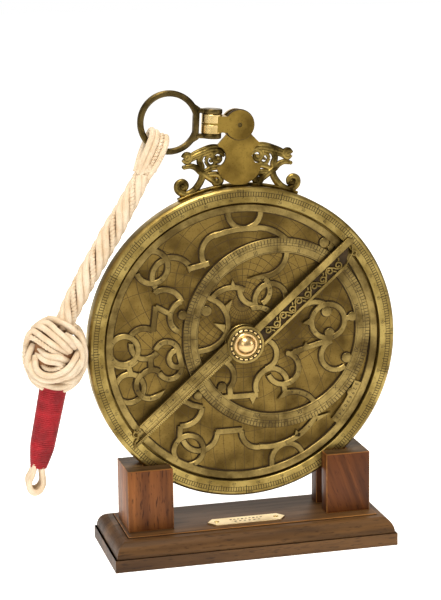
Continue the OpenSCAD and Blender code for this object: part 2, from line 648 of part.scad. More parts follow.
// Tube with one ring of points at each place on the route, square to the way it runs
tube_n = len(ROUTE);
tube_sides = 10;
function way(i) = let (d = ROUTE[min(i + 1, tube_n - 1)] - ROUTE[max(i - 1, 0)]) d / norm(d);
function rim(i) = let (up = cross(way(i), [0, 1, 0])) [for (a = [0 : 360 / tube_sides : 359])
    ROUTE[i] + TUBE_R[i] * cord_d / 14 * (cos(a) * [0, 1, 0] + sin(a) * up)];

module cord_legs() color("#ead2ac") polyhedron([for (i = [0 : tube_n - 1]) each rim(i)], concat(
    [for (i = [0 : tube_n - 2], j = [0 : tube_sides - 1]) let (k = (j + 1) % tube_sides)
        [i * tube_sides + j, i * tube_sides + k, (i + 1) * tube_sides + k, (i + 1) * tube_sides + j]],
    [[for (j = [tube_sides - 1 : -1 : 0]) j], [for (j = [0 : tube_sides - 1]) (tube_n - 1) * tube_sides + j]]));

module cord_knot() color("#ead2ac") translate(knot_at) rotate([0, 12, 0]) resize(2 * knot_half) sphere(r = 20, $fn = 32);

module cord_whipping() color("#c8102e") translate(whip_from) rotate([0, lean(whip_from, whip_to), 0]) {
    len = along(whip_from, whip_to);
    cylinder(r = whip_r, h = len - 9);
    translate([0, 0, len - 9]) cylinder(r1 = whip_r, r2 = whip_end_r, h = 9);
}

module cord_tail() color("#ead2ac") translate(whip_to) rotate([0, lean(whip_to, tail_to), 0]) {
    len = along(whip_to, tail_to);
    cylinder(r = tail_r, h = len - tail_r);
    translate([0, 0, len - tail_r]) sphere(r = tail_r);
}

base_board();
left_block();
right_block();
block_screws();
nameplate();
nameplate_pins();
mater_plate();
limb_ring();
limb_rivets();
tympan_rear();
tympan_middle();
tympan_front();
centre_bolt();
back_washer();
dome_nut();
throne_frame();
throne_pins();
throne_shield();
shield_rivets();
pivot_pin();
rete_plate();
rule_bar();
hub_collar();
alidade_bar();
sight_vane_upper();
sight_vane_lower();
vane_rivets();
shackle();
ring_loop();
ring_pin();
cord_eye();
cord_neck();
cord_legs();
cord_knot();
cord_whipping();
cord_tail();
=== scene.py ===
"""A brass astrolabe on its wooden stand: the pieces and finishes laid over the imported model."""

import logging
import math
from collections.abc import Callable, Iterable, Sequence
from dataclasses import dataclass, field
from enum import Enum

import bmesh
import bpy
from mathutils import Matrix, Vector


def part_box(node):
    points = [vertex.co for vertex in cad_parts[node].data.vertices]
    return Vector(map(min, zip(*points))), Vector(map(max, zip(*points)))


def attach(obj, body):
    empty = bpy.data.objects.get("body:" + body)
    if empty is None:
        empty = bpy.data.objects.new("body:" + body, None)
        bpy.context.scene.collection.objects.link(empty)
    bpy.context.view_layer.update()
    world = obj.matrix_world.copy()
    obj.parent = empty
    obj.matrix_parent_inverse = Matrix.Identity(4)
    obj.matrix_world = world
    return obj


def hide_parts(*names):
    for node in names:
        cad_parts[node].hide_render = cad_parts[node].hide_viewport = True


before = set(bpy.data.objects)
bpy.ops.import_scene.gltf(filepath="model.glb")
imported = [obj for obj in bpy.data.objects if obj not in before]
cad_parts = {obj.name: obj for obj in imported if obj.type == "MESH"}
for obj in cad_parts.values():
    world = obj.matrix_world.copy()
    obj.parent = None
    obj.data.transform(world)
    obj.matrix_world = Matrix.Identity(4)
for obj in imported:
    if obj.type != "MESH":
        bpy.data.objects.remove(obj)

log = logging.getLogger("astrolabe")
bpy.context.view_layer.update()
MM = 0.001
Point = tuple[float, float]
Point3 = tuple[float, float, float]
Colour = tuple[float, float, float]


def disc_centre() -> Vector:
    """Centre of the dial in metres, from the back plate's box."""
    low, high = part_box("mater_plate")
    return Vector(((low[0] + high[0]) / 2, 0.0, (low[2] + high[2]) / 2))


UPRIGHT = Matrix.Scale(MM, 4)
DIAL = Matrix.Translation(disc_centre()) @ Matrix.Scale(MM, 4) @ Matrix.Rotation(math.pi / 2, 4, "X")


def srgb(red: int, green: int, blue: int) -> Colour:
    """Linear colour for a colour written as a painter's mix of 0 to 255."""
    return tuple(((v / 255 + 0.055) / 1.055) ** 2.4 if v > 10 else v / 3294 for v in (red, green, blue))


# ---------------------------------------------------------------------------------------------
# Finishes
# ---------------------------------------------------------------------------------------------


class Sheet:
    """A node tree that is being drawn, with short calls for the nodes that the finishes share."""

    def __init__(self, tree: bpy.types.NodeTree) -> None:
        """Starts on an empty tree.

        Args:
            tree: The node tree of a material or of a group.
        """
        self.tree = tree
        self.nodes = tree.nodes
        self.links = tree.links

    def add(self, kind: str, settings: dict[str, object] | None = None, **inputs: object) -> bpy.types.Node:
        """Adds a node.

        Args:
            kind: The node's type.
            settings: Its properties by name.
            inputs: Values or output sockets by input name, with spaces written as underscores.

        Returns:
            The new node.
        """
        node = self.nodes.new(kind)
        for name, value in (settings or {}).items():
            setattr(node, name, value)
        for name, value in inputs.items():
            socket = node.inputs[int(name[1:])] if name[0] == "_" else node.inputs[name.replace("_", " ")]
            if isinstance(value, bpy.types.NodeSocket):
                self.links.new(value, socket)
            else:
                socket.default_value = value
        return node

    def noise(self, vector: bpy.types.NodeSocket, scale: object, detail: float = 4.0) -> bpy.types.NodeSocket:
        """Adds a noise and gives its value socket.

        Args:
            vector: Where the noise is read.
            scale: Its scale, a number or a socket.
            detail: Its number of octaves.

        Returns:
            The noise's value.
        """
        return self.add("ShaderNodeTexNoise", Vector=vector, Scale=scale, Detail=detail).outputs[0]

    def spread(self, value: bpy.types.NodeSocket, low: object, high: object,
               start: object = 0.0, end: object = 1.0) -> bpy.types.NodeSocket:
        """Maps a value from one range to another, clamped.

        Args:
            value: The value to map.
            low: Where the source range starts.
            high: Where the source range ends.
            start: What the low end becomes.
            end: What the high end becomes.

        Returns:
            The mapped value.
        """
        node = self.add("ShaderNodeMapRange", _0=value, _1=low, _2=high, _3=start, _4=end)
        return node.outputs[0]

    def sum(self, operation: str, first: object, second: object = 0.0) -> bpy.types.NodeSocket:
        """Adds a maths node.

        Args:
            operation: Its operation.
            first: Its first value.
            second: Its second value.

        Returns:
            The result.
        """
        return self.add("ShaderNodeMath", {"operation": operation}, _0=first, _1=second).outputs[0]

    def mix(self, share: object, first: object, second: object) -> bpy.types.NodeSocket:
        """Mixes two colours.

        Args:
            share: How much of the second, from 0 to 1.
            first: The first colour.
            second: The second colour.

        Returns:
            The mixed colour.
        """
        node = self.add("ShaderNodeMix", {"data_type": "RGBA"})
        for index, value in ((0, share), (6, first), (7, second)):
            if isinstance(value, bpy.types.NodeSocket):
                self.links.new(value, node.inputs[index])
            else:
                node.inputs[index].default_value = (*value, 1.0) if index else value
        return node.outputs[2]


def shared_group(name: str, inputs: dict[str, str], outputs: dict[str, str],
                 draw: Callable[[Sheet, dict, bpy.types.Node], None]) -> bpy.types.NodeTree:
    """Makes a shader node group once, and hands out the same one after that.

    Args:
        name: The group's name.
        inputs: Socket type by input name.
        outputs: Socket type by output name.
        draw: Draws the nodes, given the sheet, the input sockets and the output node.

    Returns:
        The group.
    """
    group = bpy.data.node_groups.get(name)
    if group is None:
        group = bpy.data.node_groups.new(name, "ShaderNodeTree")
        for label, kind in inputs.items():
            group.interface.new_socket(label, in_out="INPUT", socket_type=kind)
        for label, kind in outputs.items():
            group.interface.new_socket(label, in_out="OUTPUT", socket_type=kind)
        sheet = Sheet(group)
        entry = sheet.add("NodeGroupInput")
        leave = sheet.add("NodeGroupOutput")
        draw(sheet, {s.name: s for s in entry.outputs}, leave)
    return group


NUMBER, TINT, ARROW = "NodeSocketFloat", "NodeSocketColor", "NodeSocketVector"


def draw_tarnish(sheet: Sheet, given: dict, leave: bpy.types.Node) -> None:
    """Brass that is bright on top and brown in patches, with fine specks and worn scratches.

    Args:
        sheet: The group's sheet.
        given: Its input sockets by name.
        leave: Its output node.
    """
    place = sheet.add("ShaderNodeTexCoord").outputs["Object"]
    cloud = sheet.noise(place, given["Patch Scale"], 5.0)
    fine = sheet.noise(place, 900.0, 3.0)
    speck = sheet.noise(place, 2600.0, 2.0)
    patch = sheet.spread(cloud, 0.4, 0.62)
    patch = sheet.sum("MULTIPLY", patch, given["Amount"])
    tint = sheet.mix(patch, given["Bright"], given["Dark"])
    grime = sheet.sum("MULTIPLY", sheet.spread(fine, 0.55, 0.8), given["Grime"])
    tint = sheet.mix(grime, tint, given["Dirt"])
    sheet.links.new(tint, leave.inputs["Color"])
    rough = sheet.sum("ADD", given["Rough"], sheet.sum("MULTIPLY", patch, 0.14))
    rough = sheet.sum("ADD", rough, sheet.sum("MULTIPLY", grime, 0.25))
    sheet.links.new(rough, leave.inputs["Roughness"])
    height = sheet.sum("ADD", sheet.sum("MULTIPLY", fine, 0.5), sheet.sum("MULTIPLY", speck, 0.3))
    height = sheet.sum("ADD", height, sheet.sum("MULTIPLY", cloud, 0.6))
    sheet.links.new(height, leave.inputs["Height"])


def draw_grain(sheet: Sheet, given: dict, leave: bpy.types.Node) -> None:
    """Wood: long streaks, broad colour bands and short dark pores, all along the given vector's Z.

    Args:
        sheet: The group's sheet.
        given: Its input sockets by name.
        leave: Its output node.
    """
    place = given["Vector"]
    long = sheet.add("ShaderNodeMapping", Vector=place, Scale=(1.0, 1.0, 0.07)).outputs[0]
    short = sheet.add("ShaderNodeMapping", Vector=place, Scale=(1.0, 1.0, 0.16)).outputs[0]
    bands = sheet.noise(long, given["Band Scale"], 6.0)
    streak = sheet.noise(long, given["Streak Scale"], 4.0)
    pore = sheet.noise(short, given["Pore Scale"], 2.0)
    band = sheet.spread(bands, 0.34, 0.66)
    tint = sheet.mix(band, given["Light"], given["Dark"])
    tint = sheet.mix(sheet.spread(streak, 0.42, 0.72, 0.0, 0.55), tint, given["Deep"])
    pores = sheet.spread(pore, 0.58, 0.7)
    tint = sheet.mix(sheet.sum("MULTIPLY", pores, given["Pores"]), tint, given["Deep"])
    sheet.links.new(tint, leave.inputs["Color"])
    rough = sheet.sum("ADD", sheet.sum("MULTIPLY", streak, 0.2), given["Rough"])
    sheet.links.new(rough, leave.inputs["Roughness"])
    height = sheet.sum("SUBTRACT", sheet.sum("MULTIPLY", streak, 0.5), sheet.sum("MULTIPLY", pores, 0.6))
    sheet.links.new(height, leave.inputs["Height"])


def draw_fibres(sheet: Sheet, given: dict, leave: bpy.types.Node) -> None:
    """Thread or silk: fine fibres in a noise over the object's own coordinates, darker in places.

    Args:
        sheet: The group's sheet.
        given: Its input sockets by name.
        leave: Its output node.
    """
    place = sheet.add("ShaderNodeTexCoord").outputs["Object"]
    cloud = sheet.noise(place, 120.0, 3.0)
    fibre = sheet.noise(place, given["Fibre Scale"], 3.0)
    tint = sheet.mix(sheet.spread(cloud, 0.38, 0.66), given["Light"], given["Dark"])
    tint = sheet.mix(sheet.spread(fibre, 0.5, 0.8, 0.0, 0.5), tint, given["Deep"])
    sheet.links.new(tint, leave.inputs["Color"])
    sheet.links.new(sheet.spread(fibre, 0.3, 0.7, given["Rough"], 0.85), leave.inputs["Roughness"])
    sheet.links.new(fibre, leave.inputs["Height"])


def new_material(name: str) -> tuple[bpy.types.Material, Sheet, bpy.types.Node]:
    """A material with a Principled shader, its sheet and the shader.

    Args:
        name: The material's name.

    Returns:
        The material, the sheet it is drawn on and its shader node.
    """
    material = bpy.data.materials.new(name)
    material.use_nodes = True
    sheet = Sheet(material.node_tree)
    return material, sheet, material.node_tree.nodes["Principled BSDF"]


def wire(sheet: Sheet, shader: bpy.types.Node, group: bpy.types.Node, strength: float, depth: float) -> None:
    """Connects a finish group's three outputs to a shader.

    Args:
        sheet: The material's sheet.
        shader: Its Principled shader.
        group: The placed group.
        strength: Strength of the bump.
        depth: Depth of the bump in metres.
    """
    sheet.links.new(group.outputs["Color"], shader.inputs["Base Color"])
    sheet.links.new(group.outputs["Roughness"], shader.inputs["Roughness"])
    bump = sheet.add("ShaderNodeBump", Strength=strength, Distance=depth, Height=group.outputs["Height"])
    sheet.links.new(bump.outputs[0], shader.inputs["Normal"])


class Coat:
    """A finish that becomes a material at its first use."""

    name: str

    def material(self) -> bpy.types.Material:
        """The finish as a material."""
        made = bpy.data.materials.get(self.name)
        if made is None:
            made, sheet, shader = new_material(self.name)
            self.paint(sheet, shader)
        return made

    def paint(self, sheet: Sheet, shader: bpy.types.Node) -> None:
        """Draws the finish.

        Args:
            sheet: The material's sheet.
            shader: Its Principled shader.
        """
        raise NotImplementedError


@dataclass(frozen=True)
class BrassFinish(Coat):
    """Brass with its own brightness, tarnish and polish."""

    name: str
    bright: Colour
    dark: Colour
    rough: float = 0.3
    amount: float = 0.7
    grime: float = 0.3
    patch_scale: float = 60.0
    bump: float = 0.25
    dirt: Colour = srgb(70, 55, 22)

    def paint(self, sheet: Sheet, shader: bpy.types.Node) -> None:
        """Draws the finish.

        Args:
            sheet: The material's sheet.
            shader: Its Principled shader.
        """
        tree = shared_group(
            "Tarnish",
            {"Bright": TINT, "Dark": TINT, "Dirt": TINT, "Rough": NUMBER, "Amount": NUMBER,
             "Grime": NUMBER, "Patch Scale": NUMBER},
            {"Color": TINT, "Roughness": NUMBER, "Height": NUMBER}, draw_tarnish)
        group = sheet.add("ShaderNodeGroup", {"node_tree": tree}, Bright=(*self.bright, 1),
                          Dark=(*self.dark, 1), Dirt=(*self.dirt, 1), Rough=self.rough,
                          Amount=self.amount, Grime=self.grime, Patch_Scale=self.patch_scale)
        wire(sheet, shader, group, self.bump, 0.0002)
        shader.inputs["Metallic"].default_value = 1.0


@dataclass(frozen=True)
class WoodFinish(Coat):
    """Varnished wood whose grain runs along one axis."""

    name: str
    light: Colour
    dark: Colour
    deep: Colour
    grain: Point3 = (0.0, 0.0, 0.0)
    rough: float = 0.36
    pores: float = 0.6
    band_scale: float = 45.0
    streak_scale: float = 260.0
    pore_scale: float = 900.0

    def paint(self, sheet: Sheet, shader: bpy.types.Node) -> None:
        """Draws the finish.

        Args:
            sheet: The material's sheet.
            shader: Its Principled shader.
        """
        place = sheet.add("ShaderNodeTexCoord").outputs["Object"]
        turned = sheet.add("ShaderNodeMapping", Vector=place, Rotation=self.grain).outputs[0]
        tree = shared_group(
            "Grain",
            {"Vector": ARROW, "Light": TINT, "Dark": TINT, "Deep": TINT, "Rough": NUMBER,
             "Pores": NUMBER, "Band Scale": NUMBER, "Streak Scale": NUMBER, "Pore Scale": NUMBER},
            {"Color": TINT, "Roughness": NUMBER, "Height": NUMBER}, draw_grain)
        group = sheet.add("ShaderNodeGroup", {"node_tree": tree}, Vector=turned,
                          Light=(*self.light, 1), Dark=(*self.dark, 1), Deep=(*self.deep, 1),
                          Rough=self.rough, Pores=self.pores, Band_Scale=self.band_scale,
                          Streak_Scale=self.streak_scale, Pore_Scale=self.pore_scale)
        wire(sheet, shader, group, 0.35, 0.0002)
        shader.inputs["Specular IOR Level"].default_value = 0.2


@dataclass(frozen=True)
class ThreadFinish(Coat):
    """Silk or cotton thread with a soft shine."""

    name: str
    light: Colour
    dark: Colour
    deep: Colour
    rough: float = 0.45
    fibre_scale: float = 1800.0
    sheen: float = 0.08

    def paint(self, sheet: Sheet, shader: bpy.types.Node) -> None:
        """Draws the finish.

        Args:
            sheet: The material's sheet.
            shader: Its Principled shader.
        """
        tree = shared_group(
            "Fibres",
            {"Light": TINT, "Dark": TINT, "Deep": TINT, "Rough": NUMBER, "Fibre Scale": NUMBER},
            {"Color": TINT, "Roughness": NUMBER, "Height": NUMBER}, draw_fibres)
        group = sheet.add("ShaderNodeGroup", {"node_tree": tree}, Light=(*self.light, 1),
                          Dark=(*self.dark, 1), Deep=(*self.deep, 1), Rough=self.rough,
                          Fibre_Scale=self.fibre_scale)
        wire(sheet, shader, group, 0.5, 0.0002)
        shader.inputs["Sheen Weight"].default_value = self.sheen
        shader.inputs["Sheen Roughness"].default_value = 0.4


@dataclass(frozen=True)
class InkFinish(Coat):
    """The dark filling of an engraved line, also used as dark colour painted as shade."""

    name: str
    tint: Colour
    rough: float = 0.7

    def paint(self, sheet: Sheet, shader: bpy.types.Node) -> None:
        """Draws the finish.

        Args:
            sheet: The material's sheet.
            shader: Its Principled shader.
        """
        place = sheet.add("ShaderNodeTexCoord").outputs["Object"]
        worn = sheet.spread(sheet.noise(place, 160.0, 3.0), 0.35, 0.75)
        tint = sheet.mix(worn, self.tint, tuple(v * 1.9 for v in self.tint))
        sheet.links.new(tint, shader.inputs["Base Color"])
        shader.inputs["Roughness"].default_value = self.rough
        shader.inputs["Metallic"].default_value = 0.5


class Finish(Enum):
    """Every finish of the instrument and its stand."""

    LIMB = BrassFinish("limb brass", srgb(170, 148, 86), srgb(122, 102, 52), 0.33, 0.9, 0.55, 70.0)
    PLATE = BrassFinish("engraved plate", srgb(128, 105, 54), srgb(78, 61, 29), 0.4, 0.9, 0.65, 40.0)
    NET = BrassFinish("net brass", srgb(152, 131, 78), srgb(86, 70, 38), 0.34, 0.9, 0.6, 70.0)
    RULE = BrassFinish("rule brass", srgb(166, 143, 84), srgb(100, 83, 44), 0.32, 0.9, 0.5, 60.0)
    DOME = BrassFinish("polished dome", srgb(216, 184, 130), srgb(186, 150, 98), 0.28, 0.5, 0.05, bump=0.05)
    THRONE = BrassFinish("throne brass", srgb(152, 130, 70), srgb(58, 46, 20), 0.34, 1.0, 0.6, 130.0)
    SHIELD = BrassFinish("shield brass", srgb(156, 128, 60), srgb(92, 72, 30), 0.34, 0.9, 0.5, 45.0)
    BARREL = BrassFinish("barrel brass", srgb(236, 206, 140), srgb(170, 140, 80), 0.22, 0.7, 0.15)
    BRONZE = BrassFinish("dark bronze", srgb(100, 84, 48), srgb(44, 36, 18), 0.32, 0.9, 0.5, 90.0)
    NAME_PLATE = BrassFinish("name plate brass", srgb(236, 214, 168), srgb(200, 172, 120), 0.3, 0.5, 0.1)
    STEEL = BrassFinish("screw steel", srgb(160, 158, 152), srgb(110, 108, 102), 0.3, 0.5, 0.2)
    INK = InkFinish("engraving", srgb(40, 28, 10))
    FINE_INK = InkFinish("fine engraving", srgb(62, 46, 18))
    # Painted shade: laid under the net's straps, behind the rule's scrolls, in the collar's channel and round
    # the shackle's cheek.
    RECESS = InkFinish("recess", srgb(54, 40, 19))
    BASE = WoodFinish("walnut base", srgb(108, 76, 42), srgb(70, 46, 24), srgb(32, 18, 9),
                      (0.0, math.pi / 2, 0.0))
    # Painted highlight: the pale colour of the bevelled edges of the base and blocks stands in for the light
    # along them.
    BASE_EDGE = WoodFinish("worn walnut edge", srgb(176, 122, 62), srgb(128, 80, 36), srgb(80, 46, 20),
                           (0.0, math.pi / 2, 0.0), pores=0.2)
    LEFT_BLOCK = WoodFinish("left block wood", srgb(156, 96, 46), srgb(102, 58, 26), srgb(44, 22, 10),
                            pores=0.9, band_scale=70.0)
    RIGHT_BLOCK = WoodFinish("right block wood", srgb(118, 66, 28), srgb(72, 38, 16), srgb(30, 14, 6),
                             (0.0, 0.35, 0.0), pores=0.5, band_scale=60.0)
    BLOCK_TOP = WoodFinish("block end grain", srgb(104, 78, 44), srgb(72, 52, 30), srgb(34, 22, 12),
                           (0.0, math.pi / 2, 0.0), pores=0.9)
    SILK = ThreadFinish("cream silk", srgb(228, 210, 184), srgb(214, 190, 158), srgb(166, 126, 90))
    # Painted shade: the dark colour of the cord's hidden core, seen in the gaps between strands.
    SILK_SHADE = ThreadFinish("silk in the grooves", srgb(150, 104, 66), srgb(120, 78, 46), srgb(70, 40, 20))
    RED = ThreadFinish("red thread", srgb(172, 2, 24), srgb(136, 0, 16), srgb(76, 0, 8), 0.5)

    def material(self) -> bpy.types.Material:
        """The finish's material."""
        return self.value.material()


# ---------------------------------------------------------------------------------------------
# Shaping
# ---------------------------------------------------------------------------------------------


class Blank:
    """A piece being shaped in millimetres, in the plane of the dial or in the stand's own axes."""

    def __init__(self, name: str, place: Matrix = DIAL) -> None:
        """Starts an empty piece.

        Args:
            name: The piece's name.
            place: Takes the drawing's millimetres to the row frame's metres.
        """
        self.name = name
        self.place = place
        self.bm = bmesh.new()

    def chain(self, points: Iterable[Sequence[float]], closed: bool = True) -> list:
        """Adds a chain of edges.

        Args:
            points: Corners of the chain.
            closed: Whether the last corner joins the first.

        Returns:
            Its vertices and edges.
        """
        verts = [self.bm.verts.new(p) for p in points]
        pairs = list(zip(verts, verts[1:] + verts[:1] if closed else verts[1:]))
        return verts + [self.bm.edges.new(pair) for pair in pairs]

    def spin(self, profile: Sequence[Point], centre: Point = (0, 0), start: float = 0.0,
             end: float = 360.0, step: float = 6.0, closed: bool = True) -> None:
        """Sweeps a profile round an axis that is square to the dial.

        Args:
            profile: Corners as radius and depth.
            centre: Where the axis crosses the dial.
            start: First angle in degrees, anticlockwise from the right.
            end: Last angle.
            step: Angle between sections.
            closed: Whether the profile is a closed outline.
        """
        turn = Matrix.Translation((*centre, 0)) @ Matrix.Rotation(math.radians(start), 4, "Z")
        ring = self.chain([turn @ Vector((r, 0, z)) for r, z in profile], closed)
        whole = abs(end - start) > 359.9
        done = bmesh.ops.spin(
            self.bm, geom=ring, cent=(*centre, 0), axis=(0, 0, 1), angle=math.radians(end - start),
            steps=max(3, round(abs(end - start) / step)), use_merge=whole)
        if not whole and closed:
            self.cap(ring)
            self.cap(done["geom_last"])

    def cap(self, loop: list) -> None:
        """Closes the end of a swept piece.

        Args:
            loop: The end's vertices and edges.
        """
        bmesh.ops.contextual_create(self.bm, geom=[g for g in loop if isinstance(g, bmesh.types.BMEdge)])

    def sweep(self, profile: Sequence[Point], start: Point, end: Point) -> None:
        """Sweeps a profile along a straight line in the dial's plane.

        Args:
            profile: Corners as distance to the side and depth.
            start: Where the line starts.
            end: Where it ends.
        """
        run = Vector(end) - Vector(start)
        side = Vector((-run.y, run.x)).normalized()
        ring = self.chain([(start[0] + side.x * u, start[1] + side.y * u, z) for u, z in profile])
        edges = [g for g in ring if isinstance(g, bmesh.types.BMEdge)]
        made = bmesh.ops.extrude_edge_only(self.bm, edges=edges)["geom"]
        moved = [g for g in made if isinstance(g, bmesh.types.BMVert)]
        bmesh.ops.translate(self.bm, verts=moved, vec=(*run, 0))
        self.cap(ring)
        self.cap([g for g in made if isinstance(g, bmesh.types.BMEdge) and all(v in moved for v in g.verts)])

    def slab(self, outline: Sequence[Point], low: float, high: float, chamfer: float = 0.0) -> None:
        """Raises a flat outline, with a chamfer round its top.

        Args:
            outline: Its corners.
            low: Depth of its back.
            high: Depth of its front.
            chamfer: Size of the chamfer.
        """
        loop = self.chain([(x, y, low) for x, y in outline])
        face = bmesh.ops.contextual_create(self.bm, geom=loop)["faces"][0]
        made = bmesh.ops.extrude_face_region(self.bm, geom=[face])["geom"]
        top = [g for g in made if isinstance(g, bmesh.types.BMFace)]
        bmesh.ops.translate(self.bm, verts=list(top[0].verts), vec=(0, 0, high - low - chamfer))
        if chamfer:
            bmesh.ops.recalc_face_normals(self.bm, faces=self.bm.faces)
            bmesh.ops.inset_individual(self.bm, faces=top, thickness=chamfer, depth=chamfer)

    def button(self, centre: Point, radius: float, low: float, high: float, crown: float = 0.5) -> None:
        """Adds a round boss with a crowned top.

        Args:
            centre: Its centre.
            radius: Its radius.
            low: Depth of its back.
            high: Depth of its crown.
            crown: Height of the crown.
        """
        bends = [(radius * math.cos(a), high - crown + crown * math.sin(a))
                 for a in (math.radians(15 * i) for i in range(6))]
        self.spin([(0.0, low), (radius, low), *bends, (0.0, high)], centre, step=15.0, closed=False)

    def flat(self, corners: Sequence[Sequence[float]]) -> None:
        """Adds one flat face with the given corners."""
        bmesh.ops.contextual_create(self.bm, geom=self.chain(corners))

    def finish(self, body: str, slot: str, finishes: Sequence[Finish], replaced: Sequence[str] = (),
               smooth: float = 34.0, weld: float = 0.001, turn_out: bool = True) -> bpy.types.Object:
        """Makes the piece an object that rides on a body.

        Args:
            body: The body it rides on.
            slot: The record's material slot; not used.
            finishes: Its finishes, in the order of its material slots.
            replaced: The model's nodes that it stands for.
            smooth: Edges sharper than this many degrees stay crisp.
            weld: Distance under which points join.
            turn_out: Whether its faces are turned outwards.

        Returns:
            The finished object.
        """
        bmesh.ops.remove_doubles(self.bm, verts=self.bm.verts, dist=weld)
        if turn_out:
            bmesh.ops.recalc_face_normals(self.bm, faces=self.bm.faces)
        bmesh.ops.transform(self.bm, matrix=self.place, verts=self.bm.verts)
        mesh = bpy.data.meshes.new(self.name)
        self.bm.to_mesh(mesh)
        self.bm.free()
        return settle(mesh, self.name, body, finishes, replaced, smooth)


def settle(mesh: bpy.types.Mesh, name: str, body: str, finishes: Sequence[Finish],
           replaced: Sequence[str] = (), smooth: float = 34.0) -> bpy.types.Object:
    """Puts a mesh in the scene as a piece of the object.

    Args:
        mesh: The mesh, in the row frame's metres.
        name: The piece's name.
        body: The body it rides on.
        finishes: Its finishes.
        replaced: The model's nodes that it stands for.
        smooth: Edges sharper than this many degrees stay crisp.

    Returns:
        The new object.
    """
    mesh.shade_smooth()
    mesh.set_sharp_from_angle(angle=math.radians(smooth))
    piece = bpy.data.objects.new(name, mesh)
    bpy.context.scene.collection.objects.link(piece)
    for finish in finishes:
        mesh.materials.append(finish.material())
    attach(piece, body)
    if replaced:
        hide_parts(*replaced)
    log.info("%s: %d faces on %s", name, len(mesh.polygons), body)
    return piece


def dress(finish: Finish, *nodes: str) -> None:
    """Gives model nodes a finish.

    Args:
        finish: The finish.
        nodes: The nodes' names.
    """
    for node in nodes:
        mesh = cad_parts[node].data
        mesh.materials.clear()
        mesh.materials.append(finish.material())


def strap_profile(width: float, low: float, high: float, chamfer: float, middle: float = 0.0) -> list[Point]:
    """Section of a flat strap with chamfered top edges, about the given middle.

    Args:
        width: Its width.
        low: Depth of its back.
        high: Depth of its front.
        chamfer: Size of the chamfers.
        middle: Radius or side distance of its centre line.

    Returns:
        The section's corners.
    """
    half = width / 2
    return [(middle - half, low), (middle - half, high - chamfer), (middle - half + chamfer, high),
            (middle + half - chamfer, high), (middle + half, high - chamfer), (middle + half, low)]


def strand(points: Sequence[Vector], radius: float, sides: int = 2, closed: bool = False,
           swell: Callable[[float], float] | None = None) -> bpy.types.Mesh:
    """A round strand or rod through the given points.

    Args:
        points: Its centre line in millimetres.
        radius: Its radius.
        sides: Roundness of its section.
        closed: Whether it closes on itself.
        swell: Share of the radius at a share of the length from 0 to 1.

    Returns:
        Its mesh, in metres.
    """
    curve = bpy.data.curves.new("strand", "CURVE")
    curve.dimensions, curve.bevel_depth, curve.bevel_resolution = "3D", radius * MM, sides
    curve.use_fill_caps, curve.resolution_u = True, 2
    line = curve.splines.new("NURBS")
    line.points.add(len(points) - 1)
    for i, (point, at) in enumerate(zip(line.points, points)):
        point.co = (*(at * MM), 1.0)
        point.radius = swell(i / (len(points) - 1)) if swell else 1.0
    line.order_u, line.use_endpoint_u, line.use_cyclic_u = 4, not closed, closed
    holder = bpy.data.objects.new("strand", curve)
    bpy.context.scene.collection.objects.link(holder)
    mesh = bpy.data.meshes.new_from_object(holder.evaluated_get(bpy.context.evaluated_depsgraph_get()))
    bpy.data.objects.remove(holder)
    bpy.data.curves.remove(curve)
    return mesh


def smooth_route(points: Sequence[Sequence[float]], step: float = 2.5) -> list[Vector]:
    """Evenly spaced points along a smooth line through the given ones.

    Args:
        points: Points to pass through.
        step: Distance between the new ones.

    Returns:
        The new points.
    """
    knots = [Vector(p) for p in points]
    ends = [knots[0] * 2 - knots[1], *knots, knots[-1] * 2 - knots[-2]]
    line: list[Vector] = []
    for a, b, c, d in zip(ends, ends[1:], ends[2:], ends[3:]):
        count = max(2, round((c - b).length / step))
        for i in range(count):
            t = i / count
            line.append(0.5 * (2 * b + (c - a) * t + (2 * a - 5 * b + 4 * c - d) * t * t
                               + (3 * b - a - 3 * c + d) * t ** 3))
    return [*line, knots[-1]]


def polar(radius: float, angle: float, centre: Point = (0, 0)) -> Point:
    """A point at a radius and an angle in degrees, anticlockwise from the right."""
    turn = math.radians(angle)
    return centre[0] + radius * math.cos(turn), centre[1] + radius * math.sin(turn)


